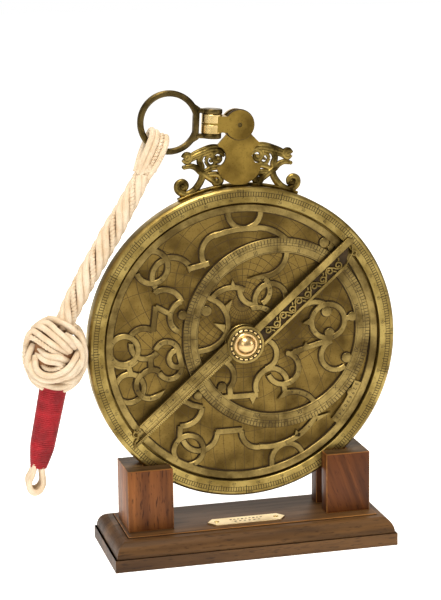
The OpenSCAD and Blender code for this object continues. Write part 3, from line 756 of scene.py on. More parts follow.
class Engraving:
    """Thin dark lines and figures that lie just over a face of the dial."""

    def __init__(self, name: str, depth: float) -> None:
        """Starts a set of lines.

        Args:
            name: The piece's name.
            depth: Depth of the lines.
        """
        self.blank = Blank(name)
        self.depth = depth

    def line(self, start: Point, end: Point, width: float) -> None:
        """Adds a straight line.

        Args:
            start: Where it starts.
            end: Where it ends.
            width: Its width.
        """
        run = Vector(end) - Vector(start)
        side = Vector((-run.y, run.x)).normalized() * width / 2
        self.blank.flat([(start[0] - side.x, start[1] - side.y, self.depth),
                         (end[0] - side.x, end[1] - side.y, self.depth),
                         (end[0] + side.x, end[1] + side.y, self.depth),
                         (start[0] + side.x, start[1] + side.y, self.depth)])

    def arc(self, centre: Point, radius: float, start: float, end: float, width: float) -> None:
        """Adds an arc.

        Args:
            centre: Its centre.
            radius: Its radius.
            start: First angle.
            end: Last angle.
            width: Its width.
        """
        size = max(2.0, min(9.0, 160.0 / max(radius, 1.0)))
        self.blank.spin([(radius - width / 2, self.depth), (radius + width / 2, self.depth)], centre,
                        start, end, size, closed=False)

    def ladder(self, radius: float, width: float, count: int, line: float, start: float = 0.0,
               end: float = 360.0, centre: Point = (0, 0)) -> None:
        """Adds short strokes along a circle.

        Args:
            radius: Mean radius of the strokes.
            width: Their length.
            count: How many of them.
            line: Their thickness.
            start: First angle.
            end: Last angle.
            centre: The circle's centre.
        """
        for i in range(count):
            angle = start + (end - start) * i / count
            self.line(polar(radius - width / 2, angle, centre), polar(radius + width / 2, angle, centre),
                      line)

    def figure(self, words: str, size: float, at: Point, angle: float) -> None:
        """Adds a figure.

        Args:
            words: The figure.
            size: Its height.
            at: The middle of its foot.
            angle: Which way its foot points, in degrees from upright.
        """
        curve = bpy.data.curves.new("figure", "FONT")
        curve.body, curve.size, curve.align_x = words, size * 1.38, "CENTER"
        curve.resolution_u = 2
        holder = bpy.data.objects.new("figure", curve)
        mesh = holder.to_mesh()
        spot = Matrix.Translation((*at, self.depth)) @ Matrix.Rotation(math.radians(angle), 4, "Z")
        mesh.transform(spot)
        self.blank.bm.from_mesh(mesh)
        holder.to_mesh_clear()
        bpy.data.objects.remove(holder)
        bpy.data.curves.remove(curve)

    def done(self, body: str, slot: str, *finishes: Finish) -> bpy.types.Object:
        """Makes the lines a piece with every face towards the reader.

        Args:
            body: The body it rides on.
            slot: The record's material slot; not used.
            finishes: Its finishes.

        Returns:
            The finished piece.
        """
        bm = self.blank.bm
        bm.normal_update()
        bmesh.ops.reverse_faces(bm, faces=[f for f in bm.faces if f.normal.z < 0])
        return self.blank.finish(body, slot, finishes, weld=0.0001, turn_out=False)


# ---------------------------------------------------------------------------------------------
# Camera and light
# ---------------------------------------------------------------------------------------------


@dataclass
class Studio:
    """The view, the lights and the floor."""

    place: Point3 = (-294.36, -1102.21, 405.01)
    yaw: float = 14.266
    down: float = 12.112
    roll: float = -0.765
    focal: float = 110.81

    def camera(self) -> None:
        """Sets up the camera."""
        yaw, down, roll = (math.radians(v) for v in (self.yaw, self.down, self.roll))
        ahead = Vector((math.sin(yaw) * math.cos(down), math.cos(yaw) * math.cos(down), -math.sin(down)))
        right = Vector((math.cos(yaw), -math.sin(yaw), 0))
        above = right.cross(ahead)
        x_axis = right * math.cos(roll) + above * math.sin(roll)
        y_axis = above * math.cos(roll) - right * math.sin(roll)
        data = bpy.data.cameras.new("camera")
        data.lens, data.sensor_width, data.clip_start = self.focal, 36.0, 0.01
        camera = bpy.data.objects.new("camera", data)
        turn = Matrix((x_axis, y_axis, -ahead)).transposed().to_4x4()
        camera.matrix_world = Matrix.Translation(Vector(self.place) * MM) @ turn
        bpy.context.scene.collection.objects.link(camera)
        bpy.context.scene.camera = camera

    def lamp(self, name: str, at: Point3, size: float, power: float, to: Point3 = (0, 0, 0.13)) -> None:
        """Adds a soft square lamp.

        Args:
            name: The lamp's name.
            at: Its place in metres.
            size: Its side in metres.
            power: Its power in watts.
            to: The point it faces.
        """
        data = bpy.data.lights.new(name, "AREA")
        data.energy, data.size, data.color = power, size, (1.0, 0.945, 0.86)
        lamp = bpy.data.objects.new(name, data)
        lamp.location = at
        lamp.rotation_euler = (Vector(to) - Vector(at)).to_track_quat("-Z", "Y").to_euler()
        bpy.context.scene.collection.objects.link(lamp)

    def surroundings(self) -> None:
        """A pale room, darker low down so that metal has something to reflect."""
        world = bpy.data.worlds.new("room")
        world.use_nodes = True
        sheet = Sheet(world.node_tree)
        sheet.nodes.clear()
        way = sheet.add("ShaderNodeTexCoord").outputs["Generated"]
        height = sheet.add("ShaderNodeSeparateXYZ", Vector=way).outputs["Z"]
        tint = sheet.mix(sheet.spread(height, -0.3, 0.7), (0.05, 0.045, 0.04), (0.66, 0.64, 0.6))
        room = sheet.add("ShaderNodeBackground", Color=tint, Strength=0.75)
        seen = sheet.add("ShaderNodeBackground", Color=(1, 1, 1, 1), Strength=1.0)
        path = sheet.add("ShaderNodeLightPath")
        both = sheet.add("ShaderNodeMixShader", _0=path.outputs["Is Camera Ray"], _1=room.outputs[0],
                         _2=seen.outputs[0])
        sheet.add("ShaderNodeOutputWorld", Surface=both.outputs[0])
        bpy.context.scene.world = world

    def floor(self) -> None:
        """A plain pale floor."""
        bm = bmesh.new()
        bmesh.ops.create_grid(bm, x_segments=1, y_segments=1, size=6.0)
        mesh = bpy.data.meshes.new("floor")
        bm.to_mesh(mesh)
        bm.free()
        material, sheet, shader = new_material("floor")
        shader.inputs["Base Color"].default_value = (0.9, 0.9, 0.9, 1)
        shader.inputs["Roughness"].default_value = 0.6
        shader.inputs["Emission Color"].default_value = (1.0, 1.0, 1.0, 1)
        shader.inputs["Emission Strength"].default_value = 0.72
        mesh.materials.append(material)
        ground = bpy.data.objects.new("floor", mesh)
        bpy.context.scene.collection.objects.link(ground)

    def build(self) -> None:
        """Sets up everything that isn't part of the object."""
        self.camera()
        self.surroundings()
        self.floor()
        self.lamp("top", (-0.25, -0.45, 1.3), 0.6, 13.5)
        self.lamp("front left", (-1.1, -1.1, 0.7), 0.5, 4.2)
        self.lamp("right", (1.2, -0.6, 0.5), 0.5, 3.5)
        self.lamp("back", (0.2, 1.2, 0.9), 1.0, 5.0)
        bpy.context.scene.view_settings.view_transform = "Standard"


# ---------------------------------------------------------------------------------------------
# Cord
# ---------------------------------------------------------------------------------------------


@dataclass
class Cord:
    """The doubled silk cord: its loop on the ring, two twisted legs, knot, red whipping and tail."""

    route: tuple[Point3, ...] = (
        (-61.5, 2.2, 243), (-66, 2.2, 235), (-71, 2, 226.5), (-76, 2, 218), (-81.5, 2, 209),
        (-87, 1.8, 200), (-92.5, 1.6, 191), (-98, 1.4, 182), (-103.5, 1.2, 172.5),
        (-108.5, 1, 163.5), (-112.5, 1, 155))
    girth: tuple[float, ...] = (5.6, 5.9, 6.3, 6.7, 7.1, 7.1, 7.1, 7.1, 7.1, 7.0, 6.6, 6.2)
    diameter: float = 14.0
    knot: Point3 = (-120, 1, 133.5)
    whip_from: Point3 = (-121.7, 1, 113)
    whip_to: Point3 = (-133, 1, 61.5)
    tail_to: Point3 = (-134.8, 1, 43.5)
    pitch: float = -50.0
    into_knot: Point3 = (-115.2, 1, 149.5)
    knot_half: Point3 = (17.8, 15, 22.5)
    across: Vector = field(default_factory=lambda: Vector((0.883, 0, -0.469)))
    loop: tuple = (
        ((-62.2, -0.6, 242.5), 0.72), ((-57.8, -2.8, 251.5), 0.95), ((-54.4, -3.5, 258.6), 1),
        ((-51.9, -2.6, 264.4), 1),
        ((-51, 2.2, 267.6), 1), ((-51.9, 7, 264.4), 1), ((-54.4, 7.9, 258.6), 1), ((-57.8, 7.2, 251.5), 0.95),
        ((-62.2, 5, 242.5), 0.72))
    facing: float = -14.0
    leg_strand: float = 2.2
    leg_core: float = 3.3
    leg_gimp: Point3 = (1.05, 1.1, 4.6)
    wrap_strand: float = 1.95
    wrap_gimp: Point3 = (0.95, 1.0, 4.4)
    wrap_gap: float = 3.5
    tail_strand: float = 1.7
    bands: tuple = (
        # Points as right and up from the knot's middle, then the lift over its core and the number of strands
        (((-13.5, 17.5), (-10.5, 21.5), (-4.4, 19.8), (1.5, 15.6), (7.7, 10.2), (11.4, 4.4)), 1.6, 2),
        (((-18.6, 6.8), (-18.3, 12.4), (-13.0, 14.2), (-6.4, 11.2), (0.4, 6.9), (7.4, 1.4)), 0.9, 2),
        (((8.0, 15.0), (14.4, 11.4), (18.4, 5.0), (19.0, -2.0), (16.0, -9.0), (9.6, -13.6), (1.0, -15.4)),
         0.2, 2),
        (((16.4, 1.6), (11.0, -6.4), (2.6, -11.4), (-6.6, -11.6), (-12.4, -6.8), (-13.4, 0.6)), 1.3, 2),
        (((-14.6, 8.0), (-17.6, 1.0), (-17.4, -6.0), (-13.0, -12.0), (-5.0, -15.6)), 0.0, 2),
        (((-18.0, -7.5), (-13.4, -15.0), (-5.0, -19.4), (4.2, -21.0), (12.6, -17.4), (17.0, -10.6)), 0.6, 2),
        (((-9.8, 3.6), (-4.2, 0.8), (2.6, -0.6), (7.4, -4.2)), 0.2, 2),
        (((-9.4, -3.6), (-3.6, -6.4), (3.6, -5.6), (7.0, -3.0)), -0.2, 1),
        (((-4.0, 23.0), (4.6, 21.0), (11.6, 16.6), (15.4, 10.4)), -0.6, 1))

    def bundle(self, name: str, meshes: Sequence[bpy.types.Mesh], body: str,
               finish: Finish, replaced: Sequence[str] = (), shaded: int = 0) -> bpy.types.Object:
        """Joins strands into one piece.

        Args:
            name: The piece's name.
            meshes: The strands.
            body: The body it rides on.
            finish: Its finish.
            replaced: The model's nodes that it stands for.
            shaded: How many of the last meshes are a core seen only in the grooves, coloured dark as painted
                shade.

        Returns:
            The finished piece.
        """
        bm = bmesh.new()
        for i, mesh in enumerate(meshes):
            count = len(bm.faces)
            bm.from_mesh(mesh)
            bm.faces.ensure_lookup_table()
            for face in bm.faces[count:]:
                face.material_index = int(i >= len(meshes) - shaded)
            bpy.data.meshes.remove(mesh)
        whole = bpy.data.meshes.new(name)
        bm.to_mesh(whole)
        bm.free()
        finishes = [finish, Finish.SILK_SHADE] if shaded else [finish]
        return settle(whole, name, body, finishes, replaced, 60.0)

    def around(self, line: Sequence[Vector], radii: Callable[[float], float], phase: float,
               pitch: float) -> list[Vector]:
        """Winds a line round another.

        Args:
            line: The line in the middle.
            radii: Distance from it, for a share of its length from 0 to 1.
            phase: Where round it the winding starts, in turns.
            pitch: Length of one turn.

        Returns:
            The wound line.
        """
        side = Vector((0, 1, 0))
        length, wound = 0.0, []
        whole = sum((b - a).length for a, b in zip(line, line[1:]))
        for i, at in enumerate(line):
            ahead = (line[min(i + 1, len(line) - 1)] - line[max(i - 1, 0)]).normalized()
            across = (side - ahead * side.dot(ahead)).normalized()
            up = ahead.cross(across)
            if i:
                length += (at - line[i - 1]).length
            turn = 2 * math.pi * (length / pitch + phase)
            wound.append(at + (across * math.cos(turn) + up * math.sin(turn)) * radii(length / whole))
        return wound

    def legs(self) -> bpy.types.Object:
        """The two twisted legs between the ring and the knot."""
        line = smooth_route([*self.route, self.into_knot])

        def lay(share: float, inset: float) -> float:
            """Distance of a strand from the middle.

            Args:
                share: Where along the legs, from 0 to 1.
                inset: How far the strand lies inside the legs' radius.

            Returns:
                The distance.
            """
            place = min(share, 0.999) * (len(self.girth) - 1)
            i = min(int(place), len(self.girth) - 2)
            return self.girth[i] + (self.girth[i + 1] - self.girth[i]) * (place - i) - inset

        strands = []
        for half in (0.0, 0.5):
            for phase in (0.0, 0.165):
                path = self.around(line, lambda share: lay(share, self.leg_strand), half + phase, self.pitch)
                strands.append(strand(path, self.leg_strand, 3))
            middle = self.around(line, lambda share: lay(share, 2.0), half + 0.335, self.pitch)
            strands += self.plied(middle, *self.leg_gimp)
        # The core is dressed in the painted shade colour so the gaps between strands look dark.
        core = strand(line, self.leg_core, 3)
        return self.bundle("cord_twist", [*strands, core], "cord", Finish.SILK, ["cord_legs"], 1)

    def bight(self) -> bpy.types.Object:
        """The strands that pass over the ring's wire and come back behind it."""
        strands = []
        for k, offset in enumerate((-5.2, -1.9, 1.4, 4.7)):
            path = [Vector(point) + self.across * offset * share for point, share in self.loop]
            line = smooth_route(path, 1.5)
            if k == 2:
                strands += self.plied(line, *self.wrap_gimp)
            else:
                strands.append(strand(line, self.wrap_strand, 3))
        return self.bundle("cord_bight", strands, "ring", Finish.SILK, ["cord_eye"])

    def neck(self) -> bpy.types.Object:
        """Turns of strand round the place where the loop becomes the two legs."""
        low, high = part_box("cord_neck")
        middle = (Vector(low) + Vector(high)) / 2 / MM
        turns = [self.small_circle(middle, Vector((5.2, 4.6, 5.2)), Vector(n), h)
                 for n in ((0.9, 0.1, 0.4), (0.4, -0.3, 0.85)) for h in (-0.5, 0.0, 0.5)]
        return self.bundle("cord_turns", [strand(t, 1.5, 2, True) for t in turns], "cord_neck",
                           Finish.SILK, ["cord_neck"])

    def plied(self, line: Sequence[Vector], radius: float, thick: float,
              pitch: float) -> list[bpy.types.Mesh]:
        """A gimp of two thin threads twisted together.

        Args:
            line: Its centre line.
            radius: Distance of the threads from it.
            thick: Radius of a thread.
            pitch: Length of one turn.

        Returns:
            The two threads.
        """
        fine = smooth_route(line[::2] if len(line) > 8 else line, 0.9)
        return [strand(self.around(fine, lambda share: radius, m / 2, pitch), thick, 1) for m in range(2)]

    def small_circle(self, middle: Vector, half: Vector, axis: Vector, height: float,
                     count: int = 24) -> list[Vector]:
        """A ring of points on a ball that is stretched along the axes.

        Args:
            middle: The ball's centre.
            half: Its half sizes.
            axis: The direction that the ring goes round.
            height: How far along it the ring lies, from -1 to 1.
            count: Number of points.

        Returns:
            The points.
        """
        way = axis.normalized()
        first = way.cross(Vector((0.13, 0.98, 0.11))).normalized()
        second = way.cross(first)
        flat = math.sqrt(1 - height * height)
        ring = []
        for i in range(count):
            turn = 2 * math.pi * i / count
            spot = way * height + (first * math.cos(turn) + second * math.sin(turn)) * flat
            ring.append(middle + Vector(a * b for a, b in zip(spot, half)))
        return ring

    def knot_wraps(self) -> bpy.types.Object:
        """The knot: bands of parallel strands that cross over and under each other round a core."""
        middle, half = Vector(self.knot), Vector(self.knot_half)
        turn = Matrix.Rotation(math.radians(self.facing), 4, "Z")
        strands = []
        for back in (False, True):
            flip = Matrix.Rotation(math.pi if back else 0.0, 4, "Z")
            for number, (points, lift, count) in enumerate(self.bands):
                for k in range(count):
                    aside = (k - (count - 1) / 2) * self.wrap_gap
                    line = self.over_core(points, aside, lift, half)
                    line = [middle + turn @ flip @ point for point in line]
                    if k == 0 and number % 3 == 1:
                        strands += self.plied(smooth_route(line, 1.4), *self.wrap_gimp)
                    else:
                        strands.append(strand(smooth_route(line, 1.4), self.wrap_strand, 3))
        # The knot's core, dressed in the painted shade colour, shows between the bands.
        blob = bmesh.new()
        bmesh.ops.create_uvsphere(blob, u_segments=32, v_segments=20, radius=MM)
        bmesh.ops.scale(blob, vec=half * 0.8, verts=blob.verts)
        bmesh.ops.translate(blob, vec=middle * MM, verts=blob.verts)
        core = bpy.data.meshes.new("core")
        blob.to_mesh(core)
        blob.free()
        return self.bundle("cord_knot_wraps", [*strands, core], "cord", Finish.SILK,
                           ["cord_knot"], 1)

    def over_core(self, points: Sequence[Point], aside: float, lift: float, half: Vector) -> list[Vector]:
        """Lays a strand over the front of the knot's core, with both ends tucked in.

        Args:
            points: The band's line, as right and up from the middle.
            aside: Distance of the strand from the band's line.
            lift: How far it stands over the core.
            half: The knot's half sizes.

        Returns:
            The strand's points from the knot's middle, with the front towards -Y.
        """
        line = []
        for i, (right, up) in enumerate(points):
            before, after = points[max(i - 1, 0)], points[min(i + 1, len(points) - 1)]
            run = Vector((after[0] - before[0], after[1] - before[1])).normalized()
            right, up = right - run.y * aside, up + run.x * aside
            reach = math.hypot(right / (half.x + 1.5), up / (half.z + 1.0))
            if reach > 0.97:
                right, up, reach = right * 0.97 / reach, up * 0.97 / reach, 0.97
            depth = (half.y - 1.6) * math.sqrt(1 - reach * reach) + lift
            if i in (0, len(points) - 1):
                depth -= 5.0
            line.append(Vector((right, -depth, up)))
        return line

    def whipping(self) -> bpy.types.Object:
        """The red thread wound tightly round the end, thinner towards the bottom."""
        line = smooth_route([self.whip_from, self.whip_to], 0.06)
        core = smooth_route([self.whip_from, self.whip_to], 2.0)

        def wide(share: float) -> float:
            """Radius of the winding at a share of its length."""
            return 8.7 - 1.2 * share - 3.4 * max(0.0, share - 0.72) ** 1.4 * 4.2

        thread = strand(self.around(line, lambda share: wide(share) - 0.6, 0.0, 1.25), 0.72, 1)
        body = strand(core, 1.0, 5, swell=lambda share: wide(share) - 0.8)
        return self.bundle("cord_red_thread", [thread, body], "cord", Finish.RED,
                           ["cord_whipping"])

    def tail(self) -> bpy.types.Object:
        """The strands that come out under the red thread and turn back into it."""
        strands = []
        for k in range(4):
            deep = (k - 1.5) * 2.6
            drop = 1.4 * abs(k - 1.2)
            path = [(-131.6, 1 + deep * 0.6, 66), (-130.9, 1 + deep, 58), (-130.6, 1 + deep, 50 + drop),
                    (-132.6, 1 + deep, 46 + drop), (-135.8, 1 + deep, 44.6 + drop),
                    (-138.9, 1 + deep, 47 + drop), (-139.3, 1 + deep, 52 + drop), (-137.2, 1 + deep, 58),
                    (-134.6, 1 + deep * 0.6, 66)]
            strands.append(strand(smooth_route(path, 1.5), self.tail_strand, 3))
        return self.bundle("cord_tail_loop", strands, "cord", Finish.SILK, ["cord_tail"])

    def build(self) -> None:
        legs = self.legs()
        rest = [self.bight(), self.neck(), self.knot_wraps(), self.whipping(), self.tail()]
        path = [tuple(p * MM for p in point) for point in self.route]
        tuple(path[0])
        self.run() * MM

    def run(self) -> float:
        """Length of the route in millimetres."""
        return sum((Vector(b) - Vector(a)).length for a, b in zip(self.route, self.route[1:]))


# ---------------------------------------------------------------------------------------------
# Stand
# ---------------------------------------------------------------------------------------------


@dataclass
class Stand:
    """Moulded base, the two slotted blocks and the name plate."""

    half: Point = (92.25, 35.75)
    band: float = 7.9
    height: float = 18.8
    plateau: float = 10.6
    lip: float = 0.7
    step: float = 1.3
    rise: float = 0.4
    block: Point = (50.5, 79.7)
    block_depth: float = 33.0
    block_height: float = 39.6
    slot_end: float = 67.0
    slot: float = 5.9
    plate_at: Point = (-2.6, -14.3)
    plate_size: Point = (51.5, 11.6)
    plate_point: float = 4.3

    def section(self) -> list[tuple[float, float]]:
        """The moulding as inset and height, from the floor to the platform."""
        round_in = self.plateau - self.step - 0.5
        round_up = self.height - self.lip - self.band - self.rise
        curve = [(self.step + round_in * (1 - math.cos(a)), self.band + self.rise + round_up * math.sin(a))
                 for a in (math.radians(10 * i) for i in range(1, 10))]
        return [(0, 0), (0, self.band), (self.step, self.band), (self.step, self.band + self.rise), *curve,
                (self.plateau, self.height - self.lip), (self.plateau, self.height)]

    def base(self) -> None:
        """The base board, with a painted highlight in pale colour along its upper edges."""
        blank = Blank("base_moulding", UPRIGHT)
        bm = blank.bm
        corners = [(-self.half[0], -self.half[1]), (self.half[0], -self.half[1]),
                   (self.half[0], self.half[1]), (-self.half[0], self.half[1])]
        top = bmesh.ops.contextual_create(bm, geom=blank.chain([(x, y, 0) for x, y in corners]))["faces"]
        highlit_heights = {self.band, self.height}
        edges: list[bmesh.types.BMEdge] = []
        before = (0.0, 0.0)
        for inset, up in self.section()[1:]:
            made = bmesh.ops.extrude_face_region(bm, geom=top)["geom"]
            top = [g for g in made if isinstance(g, bmesh.types.BMFace)]
            for vert in top[0].verts:
                for axis in (0, 1):
                    vert.co[axis] -= math.copysign(inset - before[0], vert.co[axis])
                vert.co.z = up
            if up in highlit_heights and (inset == 0 or inset == self.plateau):
                edges += list(top[0].edges)
            before = (inset, up)
        bmesh.ops.recalc_face_normals(bm, faces=bm.faces)
        bmesh.ops.bevel(bm, geom=edges, offset=0.35, offset_type="OFFSET", segments=2, profile=0.5,
                        affect="EDGES", material=1)
        blank.finish("stand", "walnut", [Finish.BASE, Finish.BASE_EDGE], ["base_board"], smooth=26.0)

    def support(self, side: int, name: str, node: str, slot: str, finish: Finish) -> None:
        """One slotted block.

        Args:
            side: -1 for the left one and 1 for the right one.
            name: The piece's name.
            node: The node it stands for.
            slot: The record's material slot; not used.
            finish: Its wood.
        """
        inner, outer = self.block
        deep = self.block_depth / 2
        outline = [(outer, -deep), (inner, -deep), (inner, -self.slot), (self.slot_end, -self.slot),
                   (self.slot_end, self.slot), (inner, self.slot), (inner, deep), (outer, deep)]
        blank = Blank(name, UPRIGHT)
        blank.slab([(side * x, y) for x, y in outline], self.height, self.height + self.block_height)
        bmesh.ops.recalc_face_normals(blank.bm, faces=blank.bm.faces)
        for face in blank.bm.faces:
            if face.normal.z > 0.9:
                face.material_index = 1
        # Painted highlight: every sharp edge of the block is bevelled in the pale edge colour.
        sharp = [e for e in blank.bm.edges if e.calc_face_angle(0.0) > 0.5]
        bmesh.ops.bevel(blank.bm, geom=sharp, offset=0.45, offset_type="OFFSET", segments=2, profile=0.5,
                        affect="EDGES", material=2)
        blank.finish("stand", slot, [finish, Finish.BLOCK_TOP, Finish.BASE_EDGE], [node], smooth=26.0)

    def name_plate(self) -> None:
        """The plate, its two screws and a row of plain strokes where lettering would be."""
        x, y = self.plate_at
        half, deep = self.plate_size[0] / 2, self.plate_size[1] / 2
        shoulder = half - self.plate_point
        outline = [(-shoulder, -deep), (shoulder, -deep), (half, 0), (shoulder, deep), (-shoulder, deep),
                   (-half, 0)]
        blank = Blank("plate_blank", UPRIGHT)
        blank.slab([(x + u, y + v) for u, v in outline], self.height, self.height + 0.98, 0.25)
        blank.finish("stand", "plate_brass", [Finish.NAME_PLATE], ["nameplate"])
        marks = Blank("plate_strokes", UPRIGHT)
        top = self.height + 1.0
        for row, count, gap in ((1.9, 9, 2.5), (-1.9, 6, 3.1)):
            for i in range(count):
                u = x + (i - (count - 1) / 2) * gap
                tall = 0.8 if i % 3 else 1.2
                marks.flat([(u - 0.7, y + row - tall, top), (u + 0.7, y + row - tall, top),
                            (u + 0.7, y + row + tall * 0.3, top), (u - 0.7, y + row + tall * 0.3, top)])
        marks.finish("stand", "plate_brass", [Finish.INK], turn_out=False)
        heads = Blank("plate_screws", UPRIGHT)
        for side in (-1, 1):
            heads.button((x + side * (half - 6.2), y), 1.7, self.height + 0.8, self.height + 1.5, 0.5)
        heads.finish("stand", "screw_brass", [Finish.BARREL], ["nameplate_pins"])

    def build(self) -> None:
        """Makes the stand."""
        self.base()
        self.support(-1, "left_cheek", "left_block", "left_wood", Finish.LEFT_BLOCK)
        self.support(1, "right_cheek", "right_block", "right_wood", Finish.RIGHT_BLOCK)
        self.name_plate()
        dress(Finish.STEEL, "block_screws")


# ---------------------------------------------------------------------------------------------
# Disc
# ---------------------------------------------------------------------------------------------

ROMAN = ("XII", "I", "II", "III", "IV", "V", "VI", "VII", "VIII", "IX", "X", "XI")


@dataclass
class Disc:
    """Limb with its scales, the plates below it and their lines."""

    radius: float = 100.0
    inner: float = 90.2
    face: float = 5.3
    floor: float = -2.7
    plate_face: float = 1.2
    bevel: float = 1.5
    sky_edge: float = 89.6
    latitude: float = 42.0
    tropic: float = 23.44

    def limb(self) -> None:
        """The raised limb with its bevelled rim."""
        blank = Blank("limb_body")
        blank.spin([(self.inner, self.floor), (self.inner, self.face - 0.25), (self.inner + 0.25, self.face),
                    (self.radius - self.bevel, self.face), (self.radius - 0.4, self.face - 0.9),
                    (self.radius, self.face - 1.6), (self.radius, self.floor)], step=1.5)
        blank.finish("mater", "limb_brass", [Finish.LIMB], ["limb_ring"])

    def limb_scales(self) -> None:
        """Numerals and degree marks on the limb."""
        lines = Engraving("limb_scales", self.face + 0.03)
        for radius in (94.3, 97.0):
            lines.arc((0, 0), radius, 0, 360, 0.3)
        lines.ladder(95.65, 2.6, 360, 0.42)
        lines.ladder(93.8, 1.2, 72, 0.35)
        lines.ladder(96.0, 5.4, 24, 0.5)
        for i in range(24):
            angle = 90 - 15 * i
            lines.figure(ROMAN[i % 12], 1.9, polar(97.25, angle + 1.6), angle - 90)
        for i in range(36):
            angle = 90 - 10 * i - 5
            lines.figure(str(10 * (i % 9 + 1)), 1.8, polar(91.3, angle), angle - 90)
        lines.done("mater", "limb_brass", Finish.INK)

    def sky_lines(self) -> None:
        """Circles of equal altitude and direction on the front plate, for its latitude."""
        lines = Engraving("plate_lines", self.plate_face + 0.02)
        edge, latitude = self.sky_edge, math.radians(self.latitude)
        equator = edge / math.tan(math.radians(90 + self.tropic) / 2)
        for radius in (equator * math.tan(math.radians(90 - self.tropic) / 2), equator, edge - 1.2,
                       edge - 3.2):
            lines.arc((0, 0), radius, 0, 360, 0.28)
        for step in range(0, 90, 5):
            height = math.radians(step)
            below = math.sin(latitude) + math.sin(height)
            self.clipped(lines, (0, equator * math.cos(latitude) / below),
                         equator * math.cos(height) / below, edge - 3.2, 0.42 if step % 10 == 0 else 0.28)
        zenith = equator * math.tan((math.pi / 2 - latitude) / 2)
        nadir = -equator * math.tan((math.pi / 2 + latitude) / 2)
        middle, reach = (zenith + nadir) / 2, (zenith - nadir) / 2
        for step in range(-80, 90, 10):
            lean = math.radians(step)
            self.clipped(lines, (reach * math.tan(lean), middle), reach / math.cos(lean), edge - 3.2, 0.3)
        lines.line((0, edge), (0, -edge), 0.3)
        lines.line((-edge, 0), (edge, 0), 0.3)
        lines.done("mater", "tympan_brass", Finish.FINE_INK)

    def clipped(self, lines: Engraving, centre: Point, radius: float, edge: float, width: float) -> None:
        """Adds the part of a circle that lies inside the plate.

        Args:
            lines: The engraving it belongs to.
            centre: The circle's centre.
            radius: Its radius.
            edge: The plate's radius.
            width: The line's width.
        """
        away = math.hypot(*centre)
        if away + radius <= edge:
            lines.arc(centre, radius, 0, 360, width)
            return
        share = (edge ** 2 - away ** 2 - radius ** 2) / (2 * away * radius)
        if abs(share) >= 1:
            return
        out = math.degrees(math.atan2(centre[1], centre[0]))
        half = math.degrees(math.acos(share))
        lines.arc(centre, radius, out + half, out + 360 - half, width)

    def build(self) -> None:
        """Makes the disc."""
        self.limb()
        self.limb_scales()
        self.sky_lines()
        dress(Finish.LIMB, "mater_plate", "limb_rivets")
        dress(Finish.PLATE, "tympan_rear", "tympan_middle", "tympan_front")
        dress(Finish.RULE, "centre_bolt", "back_washer", "alidade_bar", "sight_vane_upper",
              "sight_vane_lower")
        dress(Finish.THRONE, "vane_rivets")


# ---------------------------------------------------------------------------------------------
# Star net
# ---------------------------------------------------------------------------------------------


